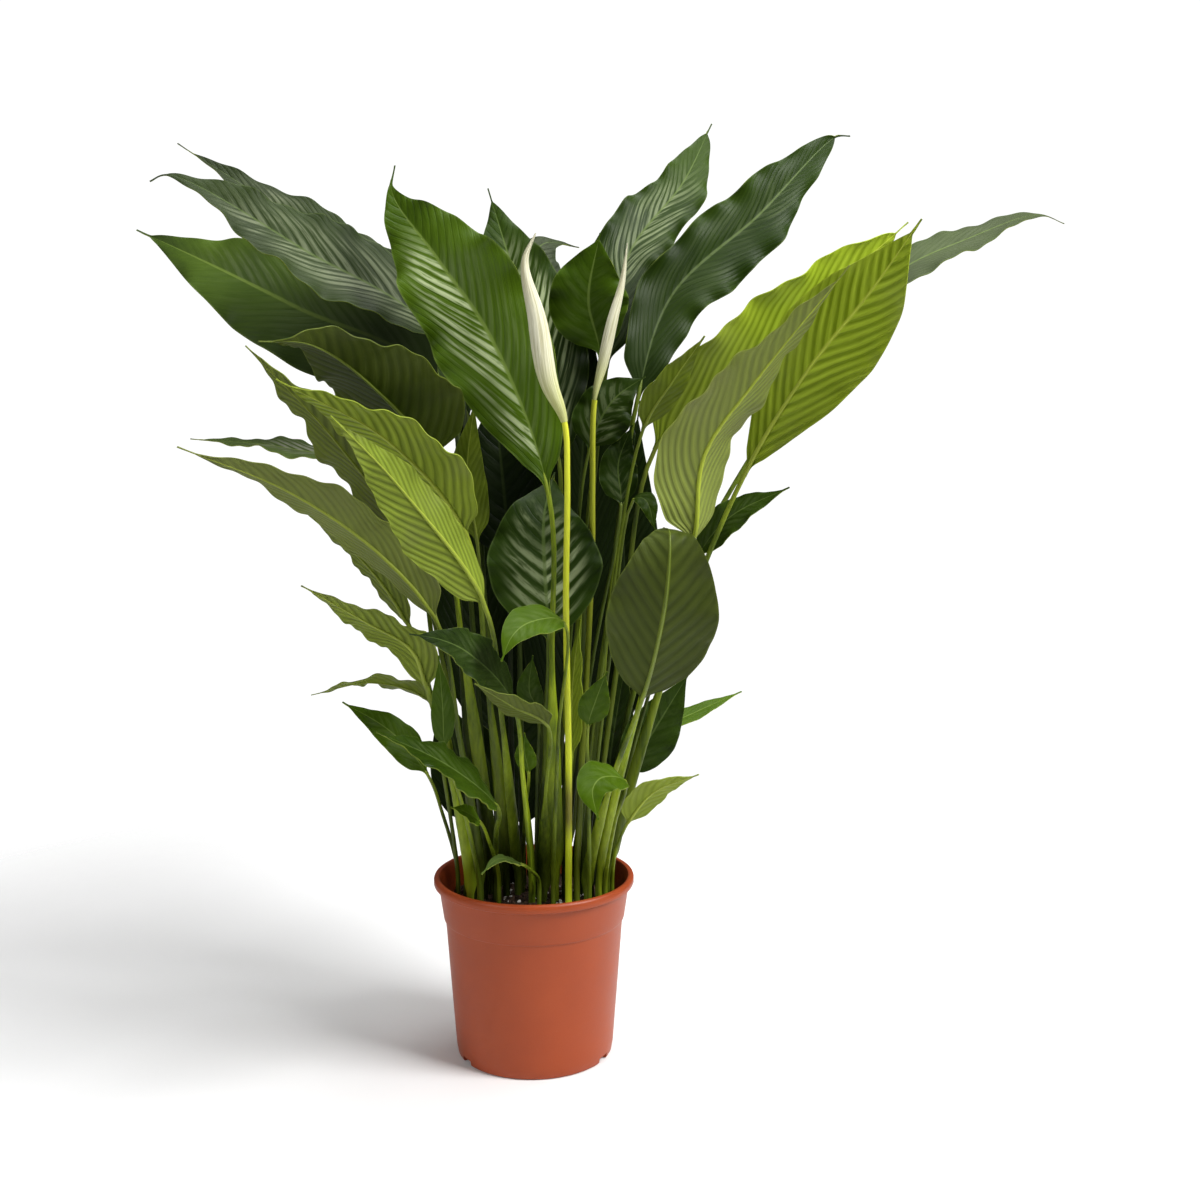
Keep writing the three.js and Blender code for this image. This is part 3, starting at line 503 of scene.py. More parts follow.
def leaf_stalk():
    """Green with fine lengthwise streaks and a foot darkened by painted shade, and pale along the midrib."""
    finish = Finish("leaf_stalk", Specular_IOR_Level=0.3)
    stem, tone, along, shade = finish.attributes("stem", "tone", "along", "shade")
    streak = finish.noise(55.0, 3.0, 0.6, finish.stretched((6.0, 6.0, 0.3)))
    band = finish.noise(20.0, vector=finish.stretched((1.5, 1.5, 0.35))).step(0.38, 0.62)
    green = finish.mix(stem, (0.01, 0.02, 0.001), (0.1, 0.16, 0.002))
    pale = finish.mix(stem, (0.075, 0.12, 0.006), (0.52, 0.66, 0.02))
    body = finish.mix(streak * 0.9 + band * 0.55 - 0.35, green, pale)
    # Painted shade: the stalk darkens towards the mix over the lower half of its length.
    foot = (1.0 - along.step(0.0, 0.5)) * 0.5
    foot_shaded = finish.mix(foot, body, (0.012, 0.022, 0.001))
    rib = along.step(0.85, 1.15)
    midrib = finish.mix(tone, (0.15, 0.2, 0.03), (0.62, 0.72, 0.07))
    # Painted shade from the clump: on the stalk, and on the midrib only where the underside looks to the
    # front.
    deep = abs(shade) * (1.0 - rib) - shade * rib
    finish.link("Base Color", finish.mix(deep, finish.mix(rib * 0.8, foot_shaded, midrib), DEEP_SHADE))
    finish.link("Roughness", streak * 0.2 + 0.36)
    finish.bump(streak, 0.0006)
    return finish.material


def flower_stalk():
    """Bright yellow-green and smooth, with a brownish flush low down, and painted shade that darkens it most
    low down and less towards the spathe where the bloom's shade is set.
    """
    finish = Finish("flower_stalk", Specular_IOR_Level=0.25)
    along, shade = finish.attributes("along", "shade")
    streak = finish.noise(70.0, 3.0, 0.6, finish.stretched((6.0, 6.0, 0.25)))
    green = finish.mix(along, (0.6, 0.72, 0.008), (0.68, 0.7, 0.04))
    body = finish.mix(streak * 0.4, green, (0.86, 0.9, 0.1))
    flush = along.step(0.16, 0.22) * (1.0 - along.step(0.25, 0.34))
    flushed = finish.mix(flush * 0.85, body, (0.15, 0.12, 0.028))
    # Painted shade: where a bloom's shade is set, its stalk is darkened most low down and less towards the
    # spathe.
    dark = shade * (1.0 - along.step(0.35, 1.35))
    finish.link("Base Color", finish.mix(dark, flushed, (0.045, 0.07, 0.006)))
    finish.link("Roughness", streak * 0.15 + 0.35)
    finish.bump(streak, 0.0003)
    return finish.material


def spathe_skin():
    """Warm cream with fine lengthwise ribs, greenish at its foot."""
    finish = Finish("spathe", Specular_IOR_Level=0.3)
    round_and_up = finish.node("ShaderNodeUVMap", {"uv_map": "UVMap"})
    ribbed = finish.node("ShaderNodeMapping", None, {"Vector": round_and_up, "Scale": (40, 3, 1)})
    fine = finish.noise(1.0, 3.0, 0.6, ribbed)
    cream = finish.mix(fine.step(0.3, 0.7), (0.58, 0.55, 0.32), (0.9, 0.88, 0.68))
    foot = 1.0 - finish.attribute("along").step(0.0, 0.4)
    finish.link("Base Color", finish.mix(foot * 0.8, cream, (0.56, 0.6, 0.17)))
    finish.link("Roughness", fine * 0.15 + 0.42)
    finish.bump(fine, 0.001)
    return finish.material


def pot_plastic():
    """Terracotta-coloured satin plastic with faint scuffs, dust and the slight mottle of a moulding."""
    finish = Finish("pot_plastic", Specular_IOR_Level=0.35)
    mottle = finish.noise(22.0, 4.0, 0.6)
    scuff = finish.noise(90.0, 5.0, 0.7, finish.stretched((1.0, 1.0, 3.0)))
    body = finish.mix(mottle, (0.285, 0.042, 0.007), (0.37, 0.063, 0.012))
    dust = scuff.step(0.58, 0.8) * 0.08
    finish.link("Base Color", finish.mix(dust, body, (0.45, 0.18, 0.09)))
    finish.link("Roughness", mottle * 0.15 + scuff * 0.1 + 0.3)
    finish.bump(finish.noise(900.0) * 0.5 + scuff * 0.5, 0.00012)
    return finish.material


def potting_mix():
    """Dark, damp potting mix."""
    finish = Finish("potting_mix", Specular_IOR_Level=0.25)
    crumb = finish.node("ShaderNodeTexVoronoi", None, {"Vector": finish.place(), "Scale": 260.0})
    fibre = finish.noise(140.0, 5.0, 0.7)
    body = finish.mix(fibre, (0.012, 0.007, 0.004), (0.07, 0.04, 0.022))
    finish.link("Base Color", finish.mix(crumb.step(0.1, 0.7) * 0.5, body, (0.03, 0.017, 0.01)))
    finish.link("Roughness", fibre * 0.2 + 0.75)
    finish.bump(fibre + crumb * 0.6, 0.0025)
    return finish.material


def grain(name, dark, light, roughness):
    """Loose grains in the mix: perlite or bark."""
    finish = Finish(name, Specular_IOR_Level=0.3, Roughness=roughness)
    finish.link("Base Color", finish.mix(finish.noise(300.0, 3.0, 0.6), dark, light))
    finish.bump(finish.noise(700.0, 3.0), 0.0006)
    return finish.material


def white_floor():
    """A pale plain floor, which fades into the white room away from the pot."""
    finish = Finish("floor_white", Roughness=0.9, Specular_IOR_Level=0.0, Base_Color=(0.93, 0.93, 0.93, 1))
    distance = finish.node("ShaderNodeVectorMath", {"operation": "LENGTH"}, [finish.place()], output=1)
    finish.link("Alpha", 1.0 - distance.step(*FLOOR_FADE))
    return finish.material


FINISHES = {
    "upper": upper_side(),
    "under": under_side(),
    "stalk": leaf_stalk(),
    "flower_stalk": flower_stalk(),
    "spathe": spathe_skin(),
    "pot": pot_plastic(),
    "mix": potting_mix(),
    "perlite": grain("perlite", (0.62, 0.6, 0.55), (0.85, 0.84, 0.8), 0.8),
    "bark": grain("bark", (0.02, 0.011, 0.007), (0.11, 0.06, 0.034), 0.85),
}


# ---- shaping helpers ----

def smooth(low, high, value):
    """0 below low and 1 above high, with a smooth slope between them."""
    share = np.clip((value - low) / (high - low), 0, 1)
    return share * share * (3 - 2 * share)


def select(*pieces):
    """Selects only these pieces and makes the first one active."""
    bpy.ops.object.select_all(action="DESELECT")
    for piece in pieces:
        piece.select_set(True)
    if pieces:
        bpy.context.view_layer.objects.active = pieces[0]


def grid_through(name, rows):
    """A grid primitive with its vertices set on rows of points, given in millimetres."""
    select()
    count, across = rows.shape[:2]
    bpy.ops.mesh.primitive_grid_add(x_subdivisions=across - 1, y_subdivisions=count - 1, size=1)
    piece = bpy.context.object
    piece.name = name
    piece.data.vertices.foreach_set("co", (rows * MM).astype(np.float32).ravel())
    piece.data.update()
    return piece


def number_vertices(piece, **values):
    """Writes a number for each vertex, which the finishes read."""
    for name, numbers in values.items():
        layer = piece.data.attributes.new(name, "FLOAT", "POINT")
        spread = np.broadcast_to(np.asarray(numbers, np.float32), len(piece.data.vertices))
        layer.data.foreach_set("value", np.ascontiguousarray(spread))


def close_seam(piece):
    """Joins the two edges of a rolled grid, and each end that has shrunk to a point."""
    select(piece)
    bpy.ops.object.mode_set(mode="EDIT")
    bpy.ops.mesh.select_all(action="SELECT")
    bpy.ops.mesh.remove_doubles(threshold=0.000002)
    bpy.ops.object.mode_set(mode="OBJECT")


def change(piece, kind, **settings):
    """Puts a modifier on a piece and applies it."""
    modifier = piece.modifiers.new(kind.lower(), kind)
    for name, value in settings.items():
        setattr(modifier, name, value)
    select(piece)
    bpy.ops.object.modifier_apply(modifier=modifier.name)


def paint(piece, *finishes):
    for name in finishes:
        piece.data.materials.append(FINISHES[name])


def join(*pieces):
    select(*pieces)
    bpy.ops.object.join()
    return pieces[0]


def finished(piece, slot, *nodes, sharp=50):
    """Smooths a piece, sets it on the plant's one body and lets it stand for its solids."""
    select(piece)
    bpy.ops.object.shade_smooth_by_angle(angle=math.radians(sharp))
    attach(piece, "root")
    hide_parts(*nodes)


def path_through(points):
    """Closely spaced points on the centripetal curve through the given ones, and their distances along it."""
    given = np.array(points, float)
    ends = [2 * given[0] - given[1], *given, 2 * given[-1] - given[-2]]
    run = []
    for before, start, end, after in zip(ends, ends[1:], ends[2:], ends[3:]):
        gaps = [math.sqrt(np.linalg.norm(b - a)) for a, b in ((before, start), (start, end), (end, after))]
        leave = (start - before) / gaps[0] - (end - before) / (gaps[0] + gaps[1]) + (end - start) / gaps[1]
        arrive = (end - start) / gaps[1] - (after - start) / (gaps[1] + gaps[2]) + (after - end) / gaps[2]
        leave, arrive = leave * gaps[1], arrive * gaps[1]
        t = (np.arange(SAMPLES) / SAMPLES)[:, None]
        cubic = (2 * start - 2 * end + leave + arrive) * t**3
        square = (3 * end - 3 * start - 2 * leave - arrive) * t**2
        run.append(start + leave * t + square + cubic)
    path = np.vstack([*run, given[-1:]])
    steps = np.linalg.norm(np.diff(path, axis=0), axis=1)
    return path, np.concatenate([[0], np.cumsum(steps)])


def stations_on(path, distances, shares, settled, face):
    """Points at shares of a path's length, with the normal and the crosswise direction at each of them.

    The normal looks to face at the settled station and is carried from there without twisting."""
    total = distances[-1]
    at = np.asarray(shares) * total
    where = [np.interp(at, distances, path[:, axis]) for axis in range(3)]
    ahead = [np.interp(np.minimum(at + 1.0, total), distances, path[:, axis]) for axis in range(3)]
    behind = [np.interp(np.maximum(at - 1.0, 0), distances, path[:, axis]) for axis in range(3)]
    headings = np.array(ahead).T - np.array(behind).T
    headings = headings / np.linalg.norm(headings, axis=1)[:, None]
    normals = np.zeros_like(headings)

    def settle(index, hint):
        normal = hint - np.dot(hint, headings[index]) * headings[index]
        normals[index] = normal / np.linalg.norm(normal)

    settle(settled, np.array(face, float))
    for index in range(settled + 1, len(headings)):
        settle(index, normals[index - 1])
    for index in range(settled - 1, -1, -1):
        settle(index, normals[index + 1])
    return np.array(where).T, normals, np.cross(headings, normals)


def upright_points(root):
    """The foot of a stalk, which stands upright in the mix and a little above it."""
    heights = (SOIL_TOP - ROOT_DEPTH, SOIL_TOP + COLLAR_HEIGHT, SOIL_TOP + RISE_HEIGHT)
    return [(*root, z) for z in heights]


def set_out(points, normals, acrosses, sideways, upward):
    """Rows of points set out from a line of points, sideways and along its normals."""
    return points[:, None] + acrosses[:, None] * sideways[..., None] + normals[:, None] * upward[..., None]


def rolled_rows(points, normals, acrosses, radii, sides, flat=1.0, spread=0.0):
    """Rows of points round a line that close into a tube; spread widens it into a cupped sheath."""
    angles = -2 * np.pi * np.arange(sides + 1) / sides
    radii = np.asarray(radii)[:, None]
    wide = np.maximum(radii, np.asarray(spread)[..., None])
    cup = 0.3 * (wide - radii) * np.cos(angles) ** 2
    return set_out(points, normals, acrosses, wide * np.cos(angles), radii * flat * np.sin(angles) + cup)


def turned_rows(profile, sides):
    """Rows of points for a shape that is turned from a profile of radii and heights."""
    angles = 2 * np.pi * np.arange(sides + 1) / sides
    return np.array([[(r * math.cos(a), r * math.sin(a), z) for a in angles] for r, z in profile])


# ---- leaves ----

USUAL = dict(fold=14, peak=0.78, blunt=0.85, sheath=0, grey=0, shine=(0.05, 0.05), shade=(0, 0))

# What large and small leaves have unless the table says otherwise: the stalk's radius at its foot and neck,
# the share of the blade at which it looks to its face, the share over which it spreads from the stalk, and
# the spacing of its lateral veins along the midrib.
LARGE = dict(foot=3.6, neck=1.9, facing=0.41, spreading=0.09, vein_spacing=13.5, relief=1.0, ruffled=1.0)
SMALL = dict(foot=2.6, neck=1.3, facing=0.58, spreading=0.15, vein_spacing=10.125, relief=0.35, ruffled=0.5)

STALK_SHARES = np.linspace(0, 1, STALK_ROWS + 1)[:-1]
BLADE_SHARES = np.linspace(0, 1, BLADE_ROWS + 1)
STALK_END = STALK_ROWS + int(RIB_END * BLADE_ROWS)
ALONG = BLADE_SHARES[:, None]
ACROSS = np.linspace(-1, 1, BLADE_COLUMNS + 1)[None, :]
OFF_RIB = np.abs(ACROSS) + 0 * ALONG
SWELL = np.sin(np.pi * ALONG)


def outline(leaf):
    """A blade's half width along its length, as a share of its widest."""
    share = np.minimum(ALONG / (1 - DRIP), 1)
    bulge = np.maximum(np.sin(np.pi * share ** leaf["peak"]), 0)
    return bulge ** leaf["blunt"] * (1 - TIP_NARROWING * share**3)


def leaf_path(leaf):
    """A leaf's stalk and midrib as one path, and the share of it at which the blade starts."""
    upright = upright_points(leaf["root"])
    rise, base = np.array(upright[-1], float), np.array(leaf["rib"][0], float)
    bow = (rise + base) / 2
    bow[2] += BOW_LIFT * (base[2] - rise[2])
    path, distances = path_through([*upright, leaf.get("via", tuple(bow)), *leaf["rib"]])
    return path, distances, distances[(len(upright) + 1) * SAMPLES] / distances[-1]


def half_widths(leaf, order):
    """The blade's half width at each of its points: its outline, made uneven, from the stalk's width."""
    uneven = 1.0
    for times, stray in UNEVENNESS:
        turn = 2 * np.pi * times * (ALONG + STRAY_APART * order) + np.where(ACROSS > 0, STRAY_SHIFT, 0)
        uneven = uneven + leaf["ruffled"] * stray * np.sin(turn)
    half = np.maximum(leaf["width"] / 2 * outline(leaf) * uneven, DRIP_HALF_WIDTH)
    spread = smooth(0, leaf["spreading"], ALONG)
    return leaf["neck"] * 0.8 * (1 - spread) + half * spread


def vein_numbers(leaf, order, length):
    """Counts the lateral veins, which lie on whole numbers and lean towards the tip away from the midrib."""
    lean = (VEIN_LEAN[0] * OFF_RIB + VEIN_LEAN[1] * OFF_RIB**2) * outline(leaf)
    return length / leaf["vein_spacing"] * (ALONG - lean) + VEINS_APART * order


def lifts(leaf, order, half, vein):
    """How far the blade stands above its midrib: folded, arched, waved, ruffled at its margins, pleated."""
    fold = math.sin(math.radians(leaf["fold"]))
    crease = np.sqrt(ACROSS**2 + CREASE_SOFTNESS**2) - CREASE_SOFTNESS
    spread = smooth(0, leaf["spreading"], ALONG)
    folded = half * (fold * crease - ARCH * ACROSS**2) * spread
    cupped = leaf["neck"] * 0.5 * (1 - spread) * (0.4 + ACROSS**2)

    wave = WAVE * leaf["width"] * SWELL
    turn = 2 * np.pi * (WAVES_ALONG * ALONG + WAVE_APART * order)
    right = ACROSS > 0
    waved = min(1, 2 * leaf["ruffled"]) * wave * ACROSS**2 * np.sin(turn + np.where(right, WAVE_SHIFT, 0))
    ruffle = np.sin(RUFFLES_A_WAVE * turn + np.where(right, 2.1, 0.4))
    ruffled = 0.5 * leaf["ruffled"] * wave * ACROSS**4 * ruffle

    between_veins = np.abs(np.sin(np.pi * vein)) * (1 - OFF_RIB) * smooth(0, 0.12, OFF_RIB)
    pleated = PLEAT * leaf["relief"] * between_veins * SWELL
    return folded + cupped + waved + ruffled + pleated


def make_blade(number, leaf, order, length, stations):
    """A thin veined blade on the stations of its midrib."""
    half = half_widths(leaf, order)
    vein = vein_numbers(leaf, order, length)
    sideways = half * math.cos(math.radians(leaf["fold"])) * ACROSS
    blade = grid_through("lily_leaf_" + number, set_out(*stations, sideways, lifts(leaf, order, half, vein)))

    # Painted sheen: how much pale sheen each half of the upper side carries, fading towards the margin, the
    # foot and the tip.
    left, right = leaf["shine"]
    shine = np.where(ACROSS < 0, left, right) * (1 - smooth(*SHEEN_FADES, OFF_RIB))
    shine = shine * smooth(0, 0.15, ALONG) * (1 - smooth(*SHEEN_ENDS, ALONG))
    side, along = ACROSS + 0 * ALONG, 1 + ALONG + 0 * ACROSS
    number_vertices(blade, vein=vein.ravel(), side=side.ravel(), along=along.ravel(), shine=shine.ravel())
    paint(blade, "upper", "under")
    change(
        blade, "SOLIDIFY", thickness=BLADE_THICKNESS * MM, offset=-1, material_offset=1, material_offset_rim=1
    )
    return blade


def make_leaf_stalk(number, leaf, stations):
    """A leaf's stalk with its sheath, which runs on under the blade as its midrib and ends before the tip."""
    points, normals, acrosses = (values[:STALK_END] for values in stations)
    along = np.concatenate([STALK_SHARES, 1 + BLADE_SHARES])[:STALK_END]
    stalk_radius = leaf["foot"] + (leaf["neck"] - leaf["foot"]) * np.sqrt(STALK_SHARES)
    rib_radius = leaf["neck"] * (RIB_NARROWEST + (1 - RIB_NARROWEST) * (1 - BLADE_SHARES) ** 1.2)
    radius = np.concatenate([stalk_radius, rib_radius])[:STALK_END]
    below = smooth(1, 1.07, along) * (radius * 0.75 + 0.3)
    centres = points - normals * below[:, None]
    sheath = leaf["sheath"] / 2 * np.interp(along, *SHEATH_SPREAD)

    tube = rolled_rows(centres, normals, acrosses, radius, STALK_SIDES, STALK_FLATNESS, sheath)
    first, last = (np.repeat(end[None, None], STALK_SIDES + 1, 1) for end in (centres[0], centres[-1]))
    stalk = grid_through("stalk_of_leaf_" + number, np.concatenate([first, tube, last]))
    along = np.repeat([along[0], *along, along[-1]], STALK_SIDES + 1)
    number_vertices(stalk, along=along, vein=0.0, side=0.0, shine=0.0)
    paint(stalk, "stalk")
    close_seam(stalk)
    return stalk


def number_shade(piece, leaf):
    """Shade is above 0 where the upper side looks to the front and below 0 where the underside does."""
    along = np.empty(len(piece.data.vertices), np.float32)
    piece.data.attributes["along"].data.foreach_get("value", along)
    near_foot, near_tip = leaf["shade"]
    shade = near_foot + (near_tip - near_foot) * smooth(*SHADE_CHANGES, along)
    faces_front = leaf["face"][1] < 0
    pale = max(leaf["tone"], BACK_TONE) if faces_front else leaf["tone"]
    number_vertices(piece, shade=shade if faces_front else -shade, pale=pale)


def make_leaf(number, given, order):
    leaf = {**USUAL, **(SMALL if given.get("small") else LARGE), "stem": given["tone"], **given}
    path, distances, base = leaf_path(leaf)
    shares = np.concatenate([STALK_SHARES * base, base + BLADE_SHARES * (1 - base)])
    facing = STALK_ROWS + int(leaf["facing"] * BLADE_ROWS)
    stations = stations_on(path, distances, shares, facing, leaf["face"])
    blade_stations = [values[STALK_ROWS:] for values in stations]
    blade = make_blade(number, leaf, order, (1 - base) * distances[-1], blade_stations)
    piece = join(blade, make_leaf_stalk(number, leaf, stations))
    number_vertices(piece, **{name: leaf[name] for name in ("tone", "grey", "stem", "relief")})
    number_shade(piece, leaf)
    finished(piece, "leaf", "leaf_" + number)


# ---- flower stalks and furled spathes ----

FRONT = (0, -1, 0)


def make_flower_stalk(number, bloom, path, distances, top):
    shares = np.linspace(0, 1, FLOWER_STALK_ROWS + 1)
    radii = FLOWER_STALK_RADIUS * np.interp(shares, *FLOWER_STALK_TAPER)
    radii[0] = CENTRE
    stations = stations_on(path, distances, shares * top, 0, FRONT)
    stalk = grid_through("lily_flower_stalk_" + number, rolled_rows(*stations, radii, FLOWER_STALK_SIDES))
    number_vertices(stalk, along=np.repeat(shares, FLOWER_STALK_SIDES + 1), shade=bloom["shade"])
    paint(stalk, "flower_stalk")
    close_seam(stalk)
    finished(stalk, "stalk", "flower_stalk_" + number)


def make_spathe(number, bloom, path, distances, top):
    """A thin sheet rolled round more than once, tighter inwards, with a lip along its free edge."""
    shares = np.linspace(0, 1, SPATHE_ROWS + 1)
    bulge = np.interp(shares, np.linspace(0, 1, len(SPATHE_BULGE)), SPATHE_BULGE)
    wrap = np.linspace(0, 1, SPATHE_COLUMNS + 1)[None, :]
    angles = -2 * np.pi * SPATHE_ROLL * wrap - SPATHE_EDGE - SPATHE_TWIST * shares[:, None]
    tightness = 1 - SPATHE_TIGHTENING * wrap
    flare, wide = SPATHE_LIP
    lip = 1 + flare * np.exp(-((wrap / wide) ** 2)) * np.sin(np.pi * shares)[:, None]
    radii = (bulge * bloom["width"] / 2)[:, None] * tightness * lip
    stations = stations_on(path, distances, top + shares * (1 - top), 0, FRONT)
    rows = set_out(*stations, radii * np.cos(angles), radii * 0.9 * np.sin(angles))
    spathe = grid_through("lily_spathe_" + number, rows)
    number_vertices(spathe, along=np.repeat(shares, SPATHE_COLUMNS + 1))
    paint(spathe, "spathe")
    change(spathe, "SOLIDIFY", thickness=SPATHE_THICKNESS * MM, offset=-1)
    finished(spathe, "spathe", "spathe_" + number, sharp=70)


def make_bloom(number, bloom):
    upright = upright_points(bloom["root"])
    path, distances = path_through([*upright, *bloom["stalk"], *bloom["spathe"]])
    top = distances[(len(upright) + len(bloom["stalk"]) - 1) * SAMPLES] / distances[-1]
    make_flower_stalk(number, bloom, path, distances, top)
    make_spathe(number, bloom, path, distances, top)


# ---- pot ----

def pot_profile():
    """The pot's half section: over the floor, up the inside, round the rim, down the wall, underneath."""
    inner_foot = FOOT_RADIUS + FOOT_FLARE - WALL
    inner_band = BAND_RADIUS - WALL - 1
    inner_lip = UNDER_LIP_RADIUS - WALL - 0.5
    return [
        (CENTRE, FLOOR_THICKNESS), (PAD_RADIUS - 1.5, FLOOR_THICKNESS), (PAD_RADIUS + 0.5, FLOOR_TOP),
        (inner_foot - 1, FLOOR_TOP), (inner_band, BAND_BOTTOM - 3), (inner_lip, LIP_BOTTOM - 2),
        (RIM_RADIUS - 5.2, POT_HEIGHT - 2.2), (RIM_RADIUS - 4.4, POT_HEIGHT - 0.6),
        (RIM_RADIUS - 3, POT_HEIGHT), (RIM_RADIUS - 1.6, POT_HEIGHT - 0.1),
        (RIM_RADIUS - 0.5, POT_HEIGHT - 0.8), (RIM_RADIUS + 0.2, POT_HEIGHT - 2.4),
        (RIM_RADIUS + 0.2, LIP_BOTTOM + 1.6),
        (RIM_RADIUS - 0.1, LIP_BOTTOM + 0.6), (RIM_RADIUS - 0.8, LIP_BOTTOM + 0.1),
        (UNDER_LIP_RADIUS + 0.9, LIP_BOTTOM), (UNDER_LIP_RADIUS + 0.2, LIP_BOTTOM - 0.4),
        (UNDER_LIP_RADIUS, LIP_BOTTOM - 1.2), (BAND_RADIUS + 0.1, BAND_BOTTOM + 0.8),
        (BAND_RADIUS - 0.1, BAND_BOTTOM + 0.2), (BAND_RADIUS - 0.5, BAND_BOTTOM - 0.2),
        (BAND_RADIUS - 1.2, BAND_BOTTOM - 0.5), (BAND_RADIUS - 1.5, BAND_BOTTOM - 1.4),
        (BAND_RADIUS - 1.6, BAND_BOTTOM - 3), (FOOT_RADIUS + FOOT_FLARE, FOOT_TOP), (FOOT_RADIUS + 0.3, 1.0),
        (FOOT_RADIUS - 0.1, 0.3), (FOOT_RADIUS - 0.7, 0), (FOOT_RADIUS - 2.4, 0), (FOOT_RADIUS - 3.2, 0.4),
        (FOOT_RADIUS - 5, CHANNEL_HEIGHT), (PAD_RADIUS + 2, CHANNEL_HEIGHT), (PAD_RADIUS + 0.6, 0.6),
        (PAD_RADIUS - 0.4, 0), (CENTRE, 0),
    ]


def make_pot():
    profile = pot_profile()
    stepped = []
    for (r0, z0), (r1, z1) in zip(profile, profile[1:]):
        steps = max(1, round(math.hypot(r1 - r0, z1 - z0) / POT_STEP))
        stepped += [(r0 + (r1 - r0) * k / steps, z0 + (z1 - z0) * k / steps) for k in range(steps)]
    stepped.append(profile[-1])
    pot = grid_through("nursery_pot", turned_rows(stepped, POT_SIDES))
    close_seam(pot)
    for degrees in NOTCH_ANGLES:
        select()
        angle = math.radians(degrees)
        reach = (FOOT_RADIUS + 1) * MM
        spot = (reach * math.cos(angle), reach * math.sin(angle), 0)
        bpy.ops.mesh.primitive_cube_add(size=1, location=spot, rotation=(0, 0, angle))
        cutter = bpy.context.object
        cutter.scale = (NOTCH_DEPTH * MM, NOTCH_WIDTH * MM, 2 * NOTCH_HEIGHT * MM)
        bpy.ops.object.transform_apply(location=True, rotation=True, scale=True)
        change(pot, "BOOLEAN", operation="DIFFERENCE", solver="EXACT", object=cutter)
        bpy.data.objects.remove(cutter)
    paint(pot, "pot")
    finished(pot, "pot", "pot", sharp=35)


# ---- potting mix ----

def mix_height(x, y):
    """The lumpy surface of the mix, heaped a little among the stalks."""
    heap = MIX_HEAP * max(0.0, 1 - math.hypot(x, y) / MIX_RADIUS)
    lumps = [high * noise.noise(Vector((x / wide, y / wide, start))) for wide, start, high in MIX_LUMPS]
    return SOIL_TOP - 1 + sum(lumps) + heap


def scatter(name, count, sizes, finish, draw, squash):
    """Grains strewn over the mix, each a small lump of its own."""
    grains = []
    for _ in range(count):
        radius = GRAIN_REACH * math.sqrt(draw.random())
        angle = 2 * math.pi * draw.random()
        x, y = radius * math.cos(angle), radius * math.sin(angle)
        size = draw.uniform(*sizes)
        select()
        spot = (x * MM, y * MM, (mix_height(x, y) + size * 0.15) * MM)
        turn = [draw.uniform(0, 6.28) for _ in range(3)]
        bpy.ops.mesh.primitive_ico_sphere_add(subdivisions=1, radius=size * MM, location=spot, rotation=turn)
        lump = bpy.context.object
        for vertex in lump.data.vertices:
            vertex.co *= draw.uniform(0.7, 1.15)
        lump.scale = (1, draw.uniform(0.55, 1), squash)
        bpy.ops.object.transform_apply(location=True, rotation=True, scale=True)
        grains.append(lump)
    piece = join(*grains)
    piece.name = name
    paint(piece, finish)
    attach(piece, "root")


def make_mix():
    rings = [(CENTRE + MIX_RADIUS * ring / MIX_RINGS, 0) for ring in range(MIX_RINGS + 1)]
    rows = turned_rows([*rings, *MIX_SIDE], MIX_SIDES)
    for ring in rows[:len(rings)]:
        for point in ring:
            point[2] = mix_height(point[0], point[1])
    mix = grid_through("potting_mix", rows[::-1])
    close_seam(mix)
    paint(mix, "mix")
    finished(mix, "soil", "soil", sharp=80)
    draw = random.Random(7)
    scatter("perlite_grains", 90, (1.1, 2.6), "perlite", draw, 0.8)
    scatter("bark_crumbs", 230, (1.0, 3.2), "bark", draw, 0.5)


# ---- the scene ----

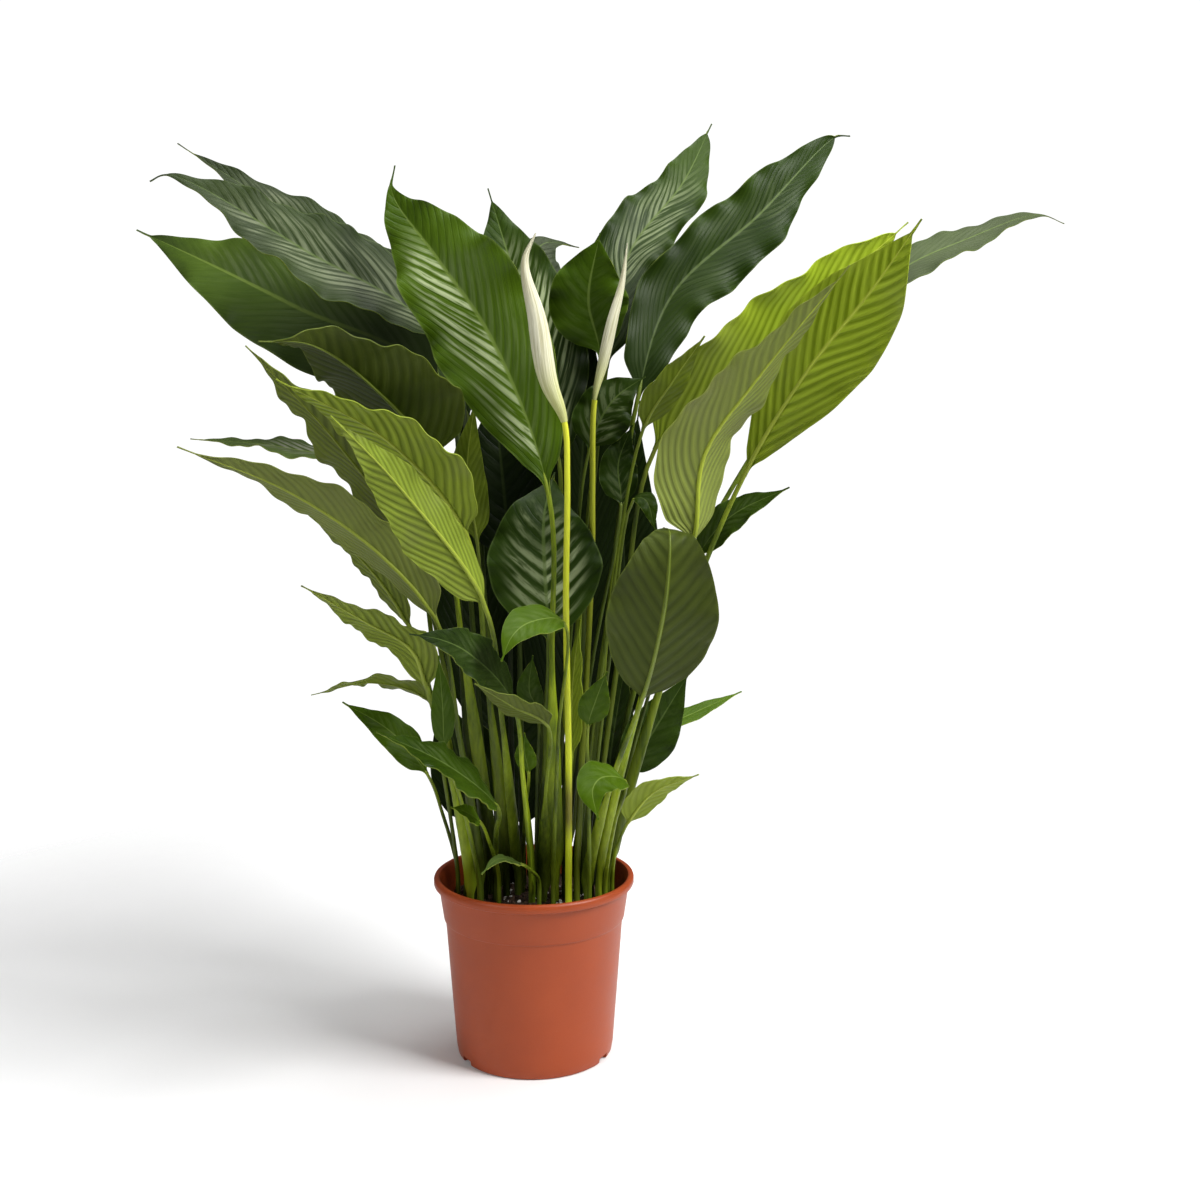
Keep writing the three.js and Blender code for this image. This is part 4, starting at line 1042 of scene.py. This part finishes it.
FLOOR_FADE = (0.5, 1.05)  # metres from the pot over which the floor turns into the white room
ROOM_LIGHT = 0.125
ROOM_SEEN = 1.05
CAMERA_PLACE = (0, -1.2, 0.545)
CAMERA_TILT = 82.63
CAMERA_TURN = -2.69
FILM_WIDTH = 36
LENS = 43.47


def make_floor():
    select()
    bpy.ops.mesh.primitive_plane_add(size=4, location=(0, 0, -0.0005))
    floor = bpy.context.object
    floor.name = "floor"
    floor.data.materials.append(white_floor())


def lamp(name, place, target, size, power):
    """A square softbox that looks at a point."""
    aim = (Vector(target) - Vector(place)).to_track_quat("-Z", "Y").to_euler()
    bpy.ops.object.light_add(type="AREA", location=place, rotation=aim)
    box = bpy.context.object
    box.name = name
    box.data.size = size
    box.data.energy = power


def light_room():
    """A dim white room round the plant, which the camera sees as plain white."""
    world = bpy.data.worlds.new("studio")
    bpy.context.scene.world = world
    world.use_nodes = True
    nodes, links = world.node_tree.nodes, world.node_tree.links
    seen = nodes.new("ShaderNodeLightPath")
    shown = nodes.new("ShaderNodeMix")
    shown.inputs[2].default_value = ROOM_LIGHT
    shown.inputs[3].default_value = ROOM_SEEN
    links.new(seen.outputs["Is Camera Ray"], shown.inputs[0])
    links.new(shown.outputs[0], nodes["Background"].inputs["Strength"])
    nodes["Background"].inputs["Color"].default_value = (1, 1, 1, 1)


def set_camera():
    turned = (math.radians(CAMERA_TILT), 0, math.radians(CAMERA_TURN))
    bpy.ops.object.camera_add(location=CAMERA_PLACE, rotation=turned)
    camera = bpy.context.object
    camera.name = "camera"
    camera.data.sensor_width = FILM_WIDTH
    camera.data.lens = LENS
    bpy.context.scene.camera = camera
    bpy.context.scene.view_settings.view_transform = "Standard"


make_pot()
make_mix()
for order, (number, leaf) in enumerate(LEAVES.items()):
    make_leaf(number, leaf, order)
for number, bloom in BLOOMS.items():
    make_bloom(number, bloom)

make_floor()
lamp("key", (1.7, -0.9, 2.0), (0, 0, 0.35), 1.1, 82)
lamp("top", (0.3, 0.25, 2.3), (0, 0, 0.4), 1.6, 34)
lamp("front", (-1.6, -1.6, 1.3), (0, 0, 0.4), 1.0, 17)
light_room()
set_camera()
